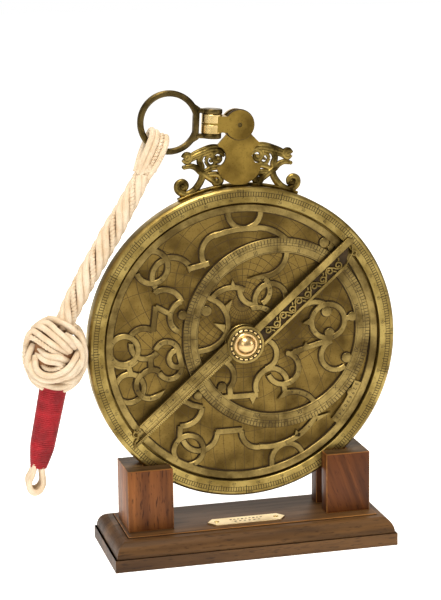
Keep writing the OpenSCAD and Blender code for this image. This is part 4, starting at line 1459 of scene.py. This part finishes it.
@dataclass
class StarNet:
    """The pierced net: ring, ecliptic, straps, bosses and star points."""

    low: float = 1.4
    high: float = 3.5
    radius: float = 89.0
    ring: float = 4.6
    width: float = 3.4
    drop: float = 0.3
    tier: float = 0.004
    chamfer: float = 0.3
    hub: Point = (9.3, 7.8)
    label: tuple = (5, 82, -43, -22)
    ecliptic: float = 61.7
    band: float = 9.5
    centre: Point = (22.24, 4.73)
    arcs: tuple = (
        (-58.5, 52.5, 10.2, -160, 100, 1), (-47.5, 46, 10.8, 86, 218, 0), (-45.5, 44.5, 13.3, 38, 108, 0),
        (-14.5, 59, 12, 88, 222, 0), (3, 8, 65.5, 84, 109, 1), (9, 47, 26.5, 40, 92, 0),
        (1.3, 84, 10.5, 180, 360, 0), (13.5, 57.5, 15.3, -97, 2, 0), (7.5, 33.5, 10, -60, 50, 1),
        (18, 27, 10.3, 0, 200, 0), (8, 34.5, 10.2, 165, 274, 0), (-7, 18.5, 17.8, 64, 142, 0),
        (9, 10, 12.5, 35, 108, 1), (-27, 14, 17, -86, 63, 0), (-17, -21, 10.5, -46, 62, 0),
        (19, -29, 11.3, 92, 200, 0), (26, -18.5, 10.3, -160, 80, 1), (17.5, -29, 11.3, -2, 94, 0),
        (12, -8.5, 9.8, -76, 62, 0), (32, -52, 17.6, 26, 108, 1), (61.5, -12, 10, 108, 306, 0),
        (56, 10.5, 11, 0, 360, 1), (47, 10, 13.5, 48, 120, 0), (-77.3, 0.7, 9, 0, 360, 1),
        (-77.3, 0.7, 10.5, 215, 320, 0), (-64.5, 4, 10, 52, 142, 0), (-37, 19.5, 10.5, 108, 240, 1),
        (-51, 26, 11.7, 18, 120, 0), (-63.5, 3.5, 9.2, 172, 322, 0), (-50, -3.5, 7.8, -12, 154, 1),
        (-43, -7, 5.5, 98, 302, 0), (-59.5, -21.5, 8.5, 58, 142, 0), (-48, -12.5, 7.3, 198, 356, 1),
        (-74.3, -24, 9.2, 0, 360, 0), (-61, -22.5, 9, 128, 306, 1), (-40, -39, 12.3, -102, -6, 0),
        (-37, -67.5, 9.7, 0, 360, 1), (-29.5, -57, 11.5, 198, 362, 0), (9, -58.5, 11, 174, 276, 0),
        (16, -32.5, 37, -100, -30, 1), (28.5, -79, 10.5, 14, 182, 0), (54.5, 61.5, 4.5, -70, 70, 0))
    bars: tuple = (
        (-35.5, 49.8, -22, 52.8), (-18.5, 28.5, -26, 33), (-25, -3, -32, -3.6), (-12, -12, -8, -8),
        (-14.5, -27.5, -19, -32.5), (-9.5, -27.5, -9, -35), (-17, -34.5, -7, -34.6),
        (-9, -34.6, 9, -34.6), (16.6, 0.5, 10, 1.5), (33, -8.2, 57, -2), (26, -28, 27.5, -35.5),
        (66.5, 11, 72.5, 12.5), (-58.6, 11.5, -56.5, 27.5), (-56.7, 27.3, -46.5, 21.5),
        (-42, -4, -40.2, -12.5), (-60.5, -5, -60.5, -13.5), (-75, -8, -73.2, -15),
        (-40.5, -34.2, -34, -38), (-34.5, -37.8, -27.5, -40), (-42.2, -51, -42.6, -59),
        (-19, -57, -1.5, -57), (18, -78.5, 18, -84), (-39.5, 20.5, -36, 18.5))
    knobs: tuple = (
        (-24, 22.4, 3.2), (-14.5, -27.5, 2.8), (57, 2.5, 3.3), (55, 16.8, 3.3), (72.3, 12.5, 3),
        (68.5, -14.5, 3.2), (-39.3, 20.8, 2.9), (-30.3, -32, 2.8), (71.8, -37.6, 2.9), (53.5, 61.5, 3.2))
    stars: tuple = (
        ((2.5, 41.5), (13, 44.2), (13, 40.4)), ((-19.5, 14.3), (-11.8, 13), (-12.8, 7.4)),
        ((-7, 29), (-12.2, 25), (-10, 19.5)), ((5.3, -40.8), (3, -35), (8.2, -35)),
        ((27.5, -9), (36, -5.6), (36, -10)), ((41, -1.6), (38.2, -6.8), (43.4, -5.6)),
        ((22, -38.6), (28.4, -36.4), (26.4, -32.6)), ((38.8, 10.4), (46, 14.6), (46, 7.4)),
        ((-34.6, 47.4), (-36.6, 52.2), (-31.4, 51.6)), ((-7, 41.6), (-9, 35), (-4.6, 36.6)),
        ((34, -59.6), (32.6, -66), (38.6, -63.6)), ((58, -49.8), (48.8, -51.6), (48, -55.4)),
        ((-51.4, -26.4), (-57.4, -28.8), (-55.4, -32)), ((-58.6, 36.4), (-55.4, 39.6), (-53.6, 35.6)),
        ((-26.4, -42.6), (-30.4, -39.6), (-28.6, -37.8)))

    def grime(self) -> None:
        """A dark skirt round the foot of every ring, arc, bar and boss: painted shade where the straps meet
        the plate.
        """
        blank = Blank("net_grime")
        spare, tier, edge = 1.1, 0.001, 0.05
        high = self.low + 0.3
        ring = self.ring + spare / 2
        blank.spin(strap_profile(ring, self.low, high, edge, self.radius - 0.1 - ring / 2), step=2.0)
        blank.spin(strap_profile(self.band + spare, self.low, high, edge, self.ecliptic - self.band / 2),
                   self.centre, step=2.0)
        for i, (x, y, radius, start, end, _) in enumerate(self.arcs):
            blank.spin(strap_profile(self.width + spare, self.low + tier * i, high - tier * i, edge, radius),
                       (x, y), start, end)
        for i, (x0, y0, x1, y1) in enumerate(self.bars):
            blank.sweep(strap_profile(self.width + spare, self.low + tier * (i + 50),
                                      high - tier * (i + 50), edge),
                        (x0, y0), (x1, y1))
        for i, (x, y, radius) in enumerate(self.knobs):
            blank.button((x, y), radius + spare / 2, self.low + tier * (i + 80), high - tier * (i + 80), 0.01)
        blank.finish("rete", "net_brass", [Finish.RECESS])

    def plate(self) -> None:
        """The net itself."""
        blank = Blank("star_net")
        edge = self.chamfer
        blank.spin(strap_profile(self.ring, self.low, self.high, edge, self.radius - self.ring / 2), step=2.0)
        blank.spin(strap_profile(self.band, self.low, self.high, edge, self.ecliptic - self.band / 2),
                   self.centre, step=2.0)
        for i, (x, y, radius, start, end, over) in enumerate(self.arcs):
            high = self.high - (0 if over else self.drop) - self.tier * (i + 1)
            blank.spin(strap_profile(self.width, self.low + self.tier * i, high, edge, radius), (x, y),
                       start, end)
        for i, (x0, y0, x1, y1) in enumerate(self.bars):
            blank.sweep(strap_profile(self.width, self.low + self.tier * (i + 50),
                                      self.high - self.drop * 0.55 - self.tier * i, edge), (x0, y0), (x1, y1))
        for i, (x, y, radius) in enumerate(self.knobs):
            blank.button((x, y), radius, self.low + self.tier * (i + 80), self.high - self.tier / 2, 0.5)
        for i, star in enumerate(self.stars):
            turned = [(Vector(star[j]) - Vector(star[0])) for j in (1, 2)]
            order = star if turned[0].cross(turned[1]) > 0 else star[::-1]
            blank.slab(order, self.low + self.tier * (i + 95), self.high - self.drop * 0.4 - self.tier * i,
                       edge)
        width, radius, start, end = self.label
        blank.spin(strap_profile(width, self.low, self.high - 0.1, edge, radius), (0, 0), start, end)
        blank.spin(strap_profile(self.hub[0], self.low, self.high, edge, self.hub[1]))
        blank.finish("rete", "net_brass", [Finish.NET], ["rete_plate"])

    def ecliptic_scale(self) -> None:
        """Degree marks and figures round the ecliptic ring."""
        lines = Engraving("ecliptic_scale", self.high + 0.02)
        for radius in (self.ecliptic - 3.0, self.ecliptic - 4.6, self.ecliptic - self.band + 0.9):
            lines.arc(self.centre, radius, 0, 360, 0.24)
        lines.ladder(self.ecliptic - 1.5, 2.6, 180, 0.42, centre=self.centre)
        lines.ladder(self.ecliptic - 3.8, 1.5, 90, 0.25, centre=self.centre)
        lines.ladder(self.ecliptic - self.band / 2, self.band - 1, 12, 0.3, centre=self.centre)
        for i in range(36):
            angle = 5 + 10 * i
            lines.figure(str(10 * (i % 3 + 1)), 1.5, polar(self.ecliptic - 4.5, angle, self.centre),
                         angle - 90)
        for i in range(12):
            lines.figure(ROMAN[i], 2.7, polar(self.ecliptic - 8.4, 15 + 30 * i, self.centre), 30 * i - 75)
        lines.done("rete", "net_brass", Finish.INK)

    def strap_labels(self) -> None:
        """Figures engraved along the straps that name the stars."""
        lines = Engraving("strap_labels", self.high + 0.02)
        for number, (x, y, radius, start, end, over) in enumerate(self.arcs):
            if not over or radius > 60:
                continue
            for k in range(3):
                angle = start + (end - start) * (0.4 + 0.2 * k)
                lines.figure(str((number * 7 + k * 3) % 10), 1.9, polar(radius - 0.9, angle, (x, y)),
                             angle - 90)
        for k in range(9):
            angle = -41 + 2.2 * k
            lines.figure(str((k * 3 + 1) % 10), 2.4, polar(80.8, angle), angle - 90)
        lines.done("rete", "net_brass", Finish.INK)

    def build(self) -> None:
        """Makes the net."""
        self.plate()
        self.grime()
        self.ecliptic_scale()
        self.strap_labels()


# ---------------------------------------------------------------------------------------------
# Rule
# ---------------------------------------------------------------------------------------------


@dataclass
class Rule:
    """The counterchanged rule: one arm engraved, the other openwork, with its hub and domed nut."""

    turn: float = 41.0
    low: float = 5.5
    high: float = 7.3
    reach: float = 96.0
    pierced: float = 82.0
    hub: float = 12.1
    seat: float = 7.7
    pitch: float = 6.75
    scrolls: int = 10
    scroll_middle: float = -4.1
    scroll_first: float = 16.5
    rod: float = 0.62
    scale_pitch: float = 9.6
    dashes: int = 18

    def bar(self) -> None:
        """Both arms and the hub's flange."""
        blank = Blank("rule_plate")
        spin = Matrix.Rotation(math.radians(self.turn), 4, "Z")
        blank.slab([(8, -0.5), (self.reach - 1.2, -0.5), (self.reach, 1.0), (self.reach - 2.2, 4.1),
                    (8, 4.1)],
                   self.low, self.high, 0.35)
        blank.slab([(9, -9.4), (self.pierced, -9.4), (self.pierced, -7.7), (9, -7.7)], self.low, self.high,
                   0.3)
        blank.slab([(-8, 2.5), (-8, 9.6), (-self.pierced - 2, 9.6), (-self.pierced - 2, 2.5)],
                   self.low, self.high, 0.3)
        blank.slab([(-8, 0.4), (-8, 2.2), (-self.reach + 1, 2.2), (-self.reach - 0.2, 0.4)],
                   self.low, self.high - 0.15, 0.2)
        blank.slab([(-9, 2.0), (-9, 2.7), (-self.pierced - 1.8, 2.7), (-self.pierced - 1.8, 2.0)],
                   self.low, self.high - 0.7)
        bmesh.ops.transform(blank.bm, matrix=spin, verts=blank.bm.verts)
        blank.spin([(3.3, self.low), (3.3, self.high + 0.4), (10.9, self.high + 0.4),
                    (11.1, self.high + 0.9), (11.8, self.high + 0.9), (self.hub, self.high + 0.5),
                    (self.hub, self.low)], step=5.0)
        blank.finish("rule", "rule_brass", [Finish.RULE], ["rule_bar"])

    def openwork(self) -> None:
        """The running scrolls between the arm and its border, and the curls at both tips."""
        spin = DIAL @ Matrix.Rotation(math.radians(self.turn), 4, "Z")
        middle = self.scroll_middle
        rods = []
        for i in range(self.scrolls):
            side = 1 if i % 2 == 0 else -1
            centre = Vector((self.scroll_first + i * self.pitch, middle + side * 0.55, self.high - 0.75))
            rods.append(self.spiral(centre, side, 2.55, 0.55, 430))
            if i:
                joint = [(centre.x - self.pitch * 0.92, middle - side * 2.6),
                         (centre.x - self.pitch * 0.5, middle - side * 0.4),
                         (centre.x - 2.2, middle + side * 1.6), (centre.x, middle + side * 3.0)]
                rods.append([Vector((*p, centre.z - 0.1)) for p in joint])
            rods.append([Vector((centre.x + 2.0, middle - side * 1.4, centre.z)),
                         Vector((centre.x + 3.0, middle - side * 2.2, centre.z)),
                         Vector((centre.x + 3.1, middle - side * 3.1, centre.z))])
        tips = [((self.reach - 2.4, 1.2), (self.reach - 4.2, -2.4), (self.reach - 6.4, -5.2),
                 (self.reach - 10, -6.3),
                 (self.pierced - 0.8, -8.4)),
                ((self.reach - 5.4, -4.6), (self.reach - 4.2, -6.4), (self.reach - 6.0, -7.6),
                 (self.reach - 7.4, -6.2)),
                ((-self.reach + 1.2, 1.4), (-self.reach + 3.2, 3.6), (-self.reach + 6.4, 4.4),
                 (-self.reach + 8.6, 6.6),
                 (-self.pierced - 1.8, 8.8)),
                ((-self.reach + 6.2, 5.0), (-self.reach + 5.2, 7.4), (-self.reach + 7.2, 8.8),
                 (-self.reach + 8.8, 7.2))]
        rods += [[Vector((*p, self.high - 0.7)) for p in tip] for tip in tips]
        blank = Blank("rule_scrolls", Matrix.Identity(4))
        for rod in rods:
            mesh = strand(smooth_route(rod, 0.6), self.rod, 1)
            blank.bm.from_mesh(mesh)
            bpy.data.meshes.remove(mesh)
        bmesh.ops.transform(blank.bm, matrix=spin @ Matrix.Scale(1 / MM, 4), verts=blank.bm.verts)
        blank.finish("rule", "rule_brass", [Finish.RULE], smooth=50.0, weld=0.0, turn_out=False)
        back = Blank("rule_shadow_plate", DIAL @ Matrix.Rotation(math.radians(self.turn), 4, "Z"))
        back.slab([(9, -8.2), (self.pierced, -8.2), (self.pierced + 9, -0.2), (9, -0.2)], self.low + 0.02,
                  self.low + 0.3)
        back.finish("rule", "rule_brass", [Finish.RECESS])

    def spiral(self, centre: Vector, side: int, outer: float, inner: float, sweep: float) -> list[Vector]:
        """Points of one spiral of the openwork.

        Args:
            centre: Its centre.
            side: 1 for one that opens at the arm and -1 for one that opens at the border.
            outer: Radius of its outer end.
            inner: Radius of its inner end.
            sweep: How far it turns, in degrees.

        Returns:
            The points.
        """
        points = []
        for i in range(19):
            share = i / 18
            turn = math.radians(90 * side - side * sweep * share)
            reach = outer + (inner - outer) * share
            points.append(centre + Vector((reach * math.cos(turn), reach * math.sin(turn), 0)))
        return points

    def scales(self) -> None:
        """Lines, strokes and figures on the engraved arm."""
        lines = Engraving("rule_scales", self.high + 0.02)
        for y in (3.4, 4.9, 8.7):
            lines.line((-10, y), (-self.pierced - 1, y), 0.22)
        for i in range(36):
            x = -13 - 2.0 * i
            lines.line((x, 2.7), (x, 3.4 if i % 5 else 4.9), 0.26)
        for i in range(8):
            x = self.scale_pitch * i
            lines.line((-14 - x, 4.9), (-14 - x, 8.7), 0.3)
            lines.figure(str(8 - i), 2.2, (-18.6 - x, 8.0), 180)
            lines.line((-16 - x, 6.8), (-21.4 - x, 6.8), 0.25)
        for i in range(60):
            lines.line((-14 - 1.35 * i, 0.5), (-14 - 1.35 * i, 1.5 if i % 5 else 2.1), 0.28)
        bmesh.ops.transform(lines.blank.bm, matrix=Matrix.Rotation(math.radians(self.turn), 4, "Z"),
                            verts=lines.blank.bm.verts)
        lines.done("rule", "rule_brass", Finish.INK)

    def dome(self) -> None:
        """The domed nut and its flange."""
        base, crown, up = 6.2, 6.568, 4.4
        seat = self.seat + 0.2
        rise = [(crown * math.sin(a), seat + 1 + up - crown + crown * math.cos(a))
                for a in (math.radians(70.8 * i / 12) for i in range(12, 0, -1))]
        blank = Blank("nut_dome")
        blank.spin([(0, seat), (7.6, seat), (7.6, seat + 0.6), (7.2, seat + 1), (base, seat + 1), *rise[1:],
                    (0, seat + 1 + up)], step=6.0, closed=False)
        blank.finish("mater", "bright_brass", [Finish.DOME], ["dome_nut"], smooth=40)

    def collar(self) -> None:
        """The collar's channel, with painted shade on its floor, and its ring of raised dashes."""
        blank = Blank("hub_channel")
        blank.spin([(8.2, self.seat), (8.2, self.seat + 0.8), (8.5, self.seat + 0.8), (8.6, self.seat + 0.35),
                    (10.4, self.seat + 0.35), (10.5, self.seat + 0.8), (10.9, self.seat + 0.8),
                    (10.9, self.seat)],
                   step=5.0)
        blank.finish("rule", "rule_brass", [Finish.RULE], ["hub_collar"])
        # Painted shade: a dark floor laid in the channel.
        floor = Blank("hub_channel_floor")
        floor.spin([(8.62, self.seat + 0.3), (8.62, self.seat + 0.4), (10.38, self.seat + 0.4),
                    (10.38, self.seat + 0.3)], step=5.0)
        floor.finish("rule", "rule_brass", [Finish.RECESS])
        dashes = Blank("hub_dashes")
        for i in range(self.dashes):
            dashes.spin(strap_profile(1.0, self.seat + 0.3, self.seat + 0.85, 0.15, 9.5), start=20 * i + 4,
                        end=20 * i + 16, step=4.0)
        dashes.finish("rule", "rule_brass", [Finish.BARREL])

    def build(self) -> None:
        """Makes the rule."""
        self.bar()
        self.openwork()
        self.scales()
        self.collar()
        self.dome()


# ---------------------------------------------------------------------------------------------
# Throne, shackle and ring
# ---------------------------------------------------------------------------------------------


@dataclass
class Throne:
    """The pierced throne with its plain shield, and what hangs on it."""

    across: float = -1.2
    rim: float = 100.0
    back: float = -5.3
    thick: float = 4.0
    flutes: tuple = (-1.7, 0.0, 1.7)
    weight: float = 1.42
    lift: float = 3.5
    depth: float = 2.2
    ring_r: float = 19.8
    wire: float = 3.8
    barrel_at: float = 16.5
    ring_at: float = 43.7
    bar_out: float = 19.0
    pivot_up: float = 138.7
    barrel_r: float = 6.35
    barrel_half: float = 5.9
    lug_gap: float = 0.15
    lug_wide: float = 3.2
    arch: Point = (90.7, 22.5)
    scrolls: tuple = (
        # Points as distance to the side and height, then the thickness at the start, middle and end
        (((-22.4, 9.0), (-23.6, 4.2), (-28.0, -1.6), (-33.4, -4.0), (-38.2, -1.4), (-38.6, 2.4), (-35.6, 4.2),
          (-33.0, 2.4), (-33.2, -0.2), (-35.0, -0.6)), (3.2, 3.4, 1.8)),
        (((-20.4, 7.6), (-15.6, 7.8), (-12.0, 7.0), (-10.8, 4.0), (-12.6, 1.6), (-15.4, 2.4), (-15.8, 4.6),
          (-14.0, 5.2)), (2.8, 3.0, 1.6)),
        (((-33.8, 13.0), (-30.0, 13.6), (-26.4, 12.2), (-23.4, 9.4), (-20.0, 7.0), (-15.6, 3.6),
          (-12.4, 1.4)),
         (2.0, 3.2, 2.4)),
        (((-34.6, 18.0), (-32.6, 16.2), (-30.4, 17.6), (-30.8, 20.2), (-33.2, 20.8), (-34.8, 18.8)),
         (2.4, 2.8, 2.4)),
        (((-24.6, 8.4), (-23.0, 12.6), (-24.4, 16.4), (-22.6, 20.2)), (2.6, 3.0, 2.2)),
        (((-21.0, 9.8), (-17.4, 11.6), (-13.4, 12.2), (-9.4, 11.6)), (2.2, 2.6, 2.4)),
        (((-10.2, 22.8), (-12.8, 22.4), (-15.6, 20.4), (-15.4, 17.2), (-12.8, 15.6), (-10.8, 17.2),
          (-11.6, 19.2)),
         (2.4, 2.6, 1.8)),
        (((-20.4, 16.4), (-18.8, 19.2), (-15.6, 19.0), (-14.0, 16.2), (-15.4, 13.4), (-18.4, 13.2),
          (-20.4, 16.4)),
         (1.8, 2.0, 1.8)),
        (((-10.6, 6.0), (-9.0, 8.4), (-7.6, 9.4)), (2.4, 2.6, 2.4)))
    leaf: tuple = ((-31.6, 17.4), (-28.2, 19.6), (-23.0, 21.6), (-17.0, 23.4), (-12.0, 23.2), (-8.4, 20.6))
    buds: tuple = ((-35.2, 0.4, 2.0), (-13.5, 3.6, 1.5), (-32.4, 18.4, 1.8), (-12.5, 18.0, 1.4),
                   (-17.2, 16.2, 1.0),
                   (-34.2, 12.9, 1.3))

    def rod(self, blank: Blank, points: Sequence[Point], sizes: Sequence[float], depth: float,
            offset: float = 0.0) -> None:
        """Adds a cast rod and its mirror image.

        Args:
            blank: The piece it belongs to.
            points: Its line, as distance to the side and height over the rim.
            sizes: Its thickness at the start, middle and end.
            depth: Depth of its centre line.
            offset: How far the line is moved upwards.
        """
        def swell(share: float) -> float:
            """Share of the middle thickness.

            Args:
                share: Where along the rod, from 0 to 1.

            Returns:
                The share.
            """
            low = sizes[0] if share < 0.5 else sizes[2]
            bend = math.sin(math.pi * min(share, 1 - share))
            return (low + (sizes[1] - low) * bend) / sizes[1]

        line = smooth_route([Vector((x, y + offset, 0)) for x, y in points], 0.9)
        mesh = strand(line, sizes[1] * self.weight / 2, 3, swell=swell)
        mesh.transform(Matrix.Scale(1 / MM, 4))
        for side in (1, -1):
            part = bmesh.new()
            part.from_mesh(mesh)
            bmesh.ops.scale(part, vec=(side, 1, 0.86), verts=part.verts)
            bmesh.ops.translate(part, vec=(self.across, self.rim, depth), verts=part.verts)
            if side < 0:
                bmesh.ops.reverse_faces(part, faces=part.faces)
            made = bpy.data.meshes.new("rod")
            part.to_mesh(made)
            part.free()
            blank.bm.from_mesh(made)
            bpy.data.meshes.remove(made)
        bpy.data.meshes.remove(mesh)

    def casting(self) -> None:
        """The pierced scrolls either side of the shield, with their foot along the rim."""
        blank = Blank("throne_scrolls")
        middle = self.back + self.thick / 2
        for i, (points, sizes) in enumerate(self.scrolls):
            self.rod(blank, points, sizes, middle + 0.05 * (i % 3))
        for flute in self.flutes:
            self.rod(blank, self.leaf, (1.4, 2.3, 1.5), middle + 0.35 - abs(flute) * 0.25, flute)
        for x, y, radius in self.buds:
            for side in (1, -1):
                blank.button((self.across + side * x, self.rim + y), radius, self.back + 0.5,
                             self.back + self.thick, radius * 0.7)
        blank.spin(strap_profile(1.7, self.back, self.back + self.thick, 0.4, self.rim + 0.9),
                   start=self.arch[0] - self.arch[1],
                   end=self.arch[0] + self.arch[1], step=1.5)
        blank.spin(strap_profile(1.0, self.back + 0.4, self.back + self.thick + 0.5, 0.3, self.rim + 1.2),
                   start=self.arch[0] - 22, end=self.arch[0] + 22, step=1.5)
        blank.finish("mater", "throne_brass", [Finish.THRONE], ["throne_frame"], smooth=50.0, weld=0.0,
                     turn_out=False)

    def ring(self) -> None:
        """The D-shaped ring with its two lugs and the bar between them."""
        low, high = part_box("pivot_pin")
        turn = Matrix.Rotation(math.radians(180 - self.lift), 4, "Z")
        pivot = Vector(((low[0] + high[0]) / 2, self.depth * MM, (low[2] + high[2]) / 2))
        place = Matrix.Translation(pivot) @ Matrix.Scale(MM, 4) @ Matrix.Rotation(math.pi / 2, 4, "X") @ turn
        blank = Blank("hanging_ring", place)
        half, inner, chamfer = self.wire / 2, self.ring_r - self.wire, 0.95
        section = [(inner, -half + chamfer), (inner, half - chamfer), (inner + chamfer, half),
                   (self.ring_r - chamfer, half), (self.ring_r, half - chamfer),
                   (self.ring_r, -half + chamfer),
                   (self.ring_r - chamfer, -half), (inner + chamfer, -half)]
        blank.spin(section, (self.ring_at, 0), -164.0, 164.0, step=5.0)
        bar = self.ring_at - self.bar_out
        blank.slab([(bar, -9.8), (bar, 9.8), (bar + self.wire, 12.2), (bar + self.wire, -12.2)][::-1],
                   -half + 0.02, half - 0.02, 0.5)
        lug = self.barrel_half + self.lug_gap
        for side in (1, -1):
            barrel = bmesh.ops.create_cone(
                blank.bm, segments=40, radius1=self.barrel_r, radius2=self.barrel_r,
                depth=self.lug_wide, cap_ends=True,
                matrix=Matrix.Translation((self.barrel_at, side * (lug + self.lug_wide / 2),
                                           0)) @ Matrix.Rotation(math.pi / 2, 4, "X"))
            rims = {e for v in barrel["verts"] for e in v.link_edges if e.calc_face_angle(0.0) > 1.0}
            bmesh.ops.bevel(blank.bm, geom=list(rims), offset=0.8, offset_type="OFFSET", segments=3,
                            profile=0.5,
                            affect="EDGES", material=-1)
            arm = bmesh.ops.create_cube(blank.bm, size=1.0)["verts"]
            bmesh.ops.scale(blank.bm, vec=(bar + 1.5 - self.barrel_at, 2.9, 5.4), verts=arm)
            bmesh.ops.translate(blank.bm, vec=((bar + 1.5 + self.barrel_at) / 2, side * (lug + 1.75), 0),
                                verts=arm)
            edges = {e for v in arm for e in v.link_edges}
            bmesh.ops.bevel(blank.bm, geom=list(edges), offset=0.7, offset_type="OFFSET", segments=2,
                            profile=0.5,
                            affect="EDGES", material=-1)
        blank.finish("ring", "ring_bronze", [Finish.BRONZE], ["ring_loop"], smooth=40.0, weld=0.0)
        sleeve = Blank("barrel_sleeve", place @ Matrix.Translation((self.barrel_at, 0, 0))
                       @ Matrix.Rotation(math.pi / 2, 4, "X"))
        tube = [(6.0, -5.9), (6.3, -5.9), (6.52, -5.6), (6.52, -0.7), (6.3, -0.45), (6.3, 0.45), (6.52, 0.7),
                (6.52, 5.6), (6.3, 5.9), (6.0, 5.9)]
        sleeve.spin(tube, start=-140.0, end=140.0, step=8.0)
        sleeve.finish("shackle", "bright_brass", [Finish.BARREL])
        # Painted shade: a thin dark ring round the shackle's cheek, where it sits in front of the shield.
        grime = Blank("cheek_grime")
        grime.spin(strap_profile(0.7, 0.95, 2.9, 0.3, 9.35), centre=(self.across, self.pivot_up))
        grime.finish("shackle", "dark_brass", [Finish.RECESS])

    def build(self) -> None:
        """Makes the throne and the ring, and dresses the shield and the shackle."""
        self.casting()
        self.ring()
        dress(Finish.THRONE, "throne_pins", "shield_rivets")
        dress(Finish.SHIELD, "throne_shield", "shackle")
        dress(Finish.BRONZE, "ring_pin", "pivot_pin")


def main() -> None:
    """Builds the studio and every piece."""
    logging.basicConfig(level=logging.INFO, format="%(message)s")
    Studio().build()
    for part in (Cord(), Stand(), Disc(), StarNet(), Rule(), Throne()):
        part.build()
        log.info("%s done", type(part).__name__)


if __name__ == "__main__":
    main()
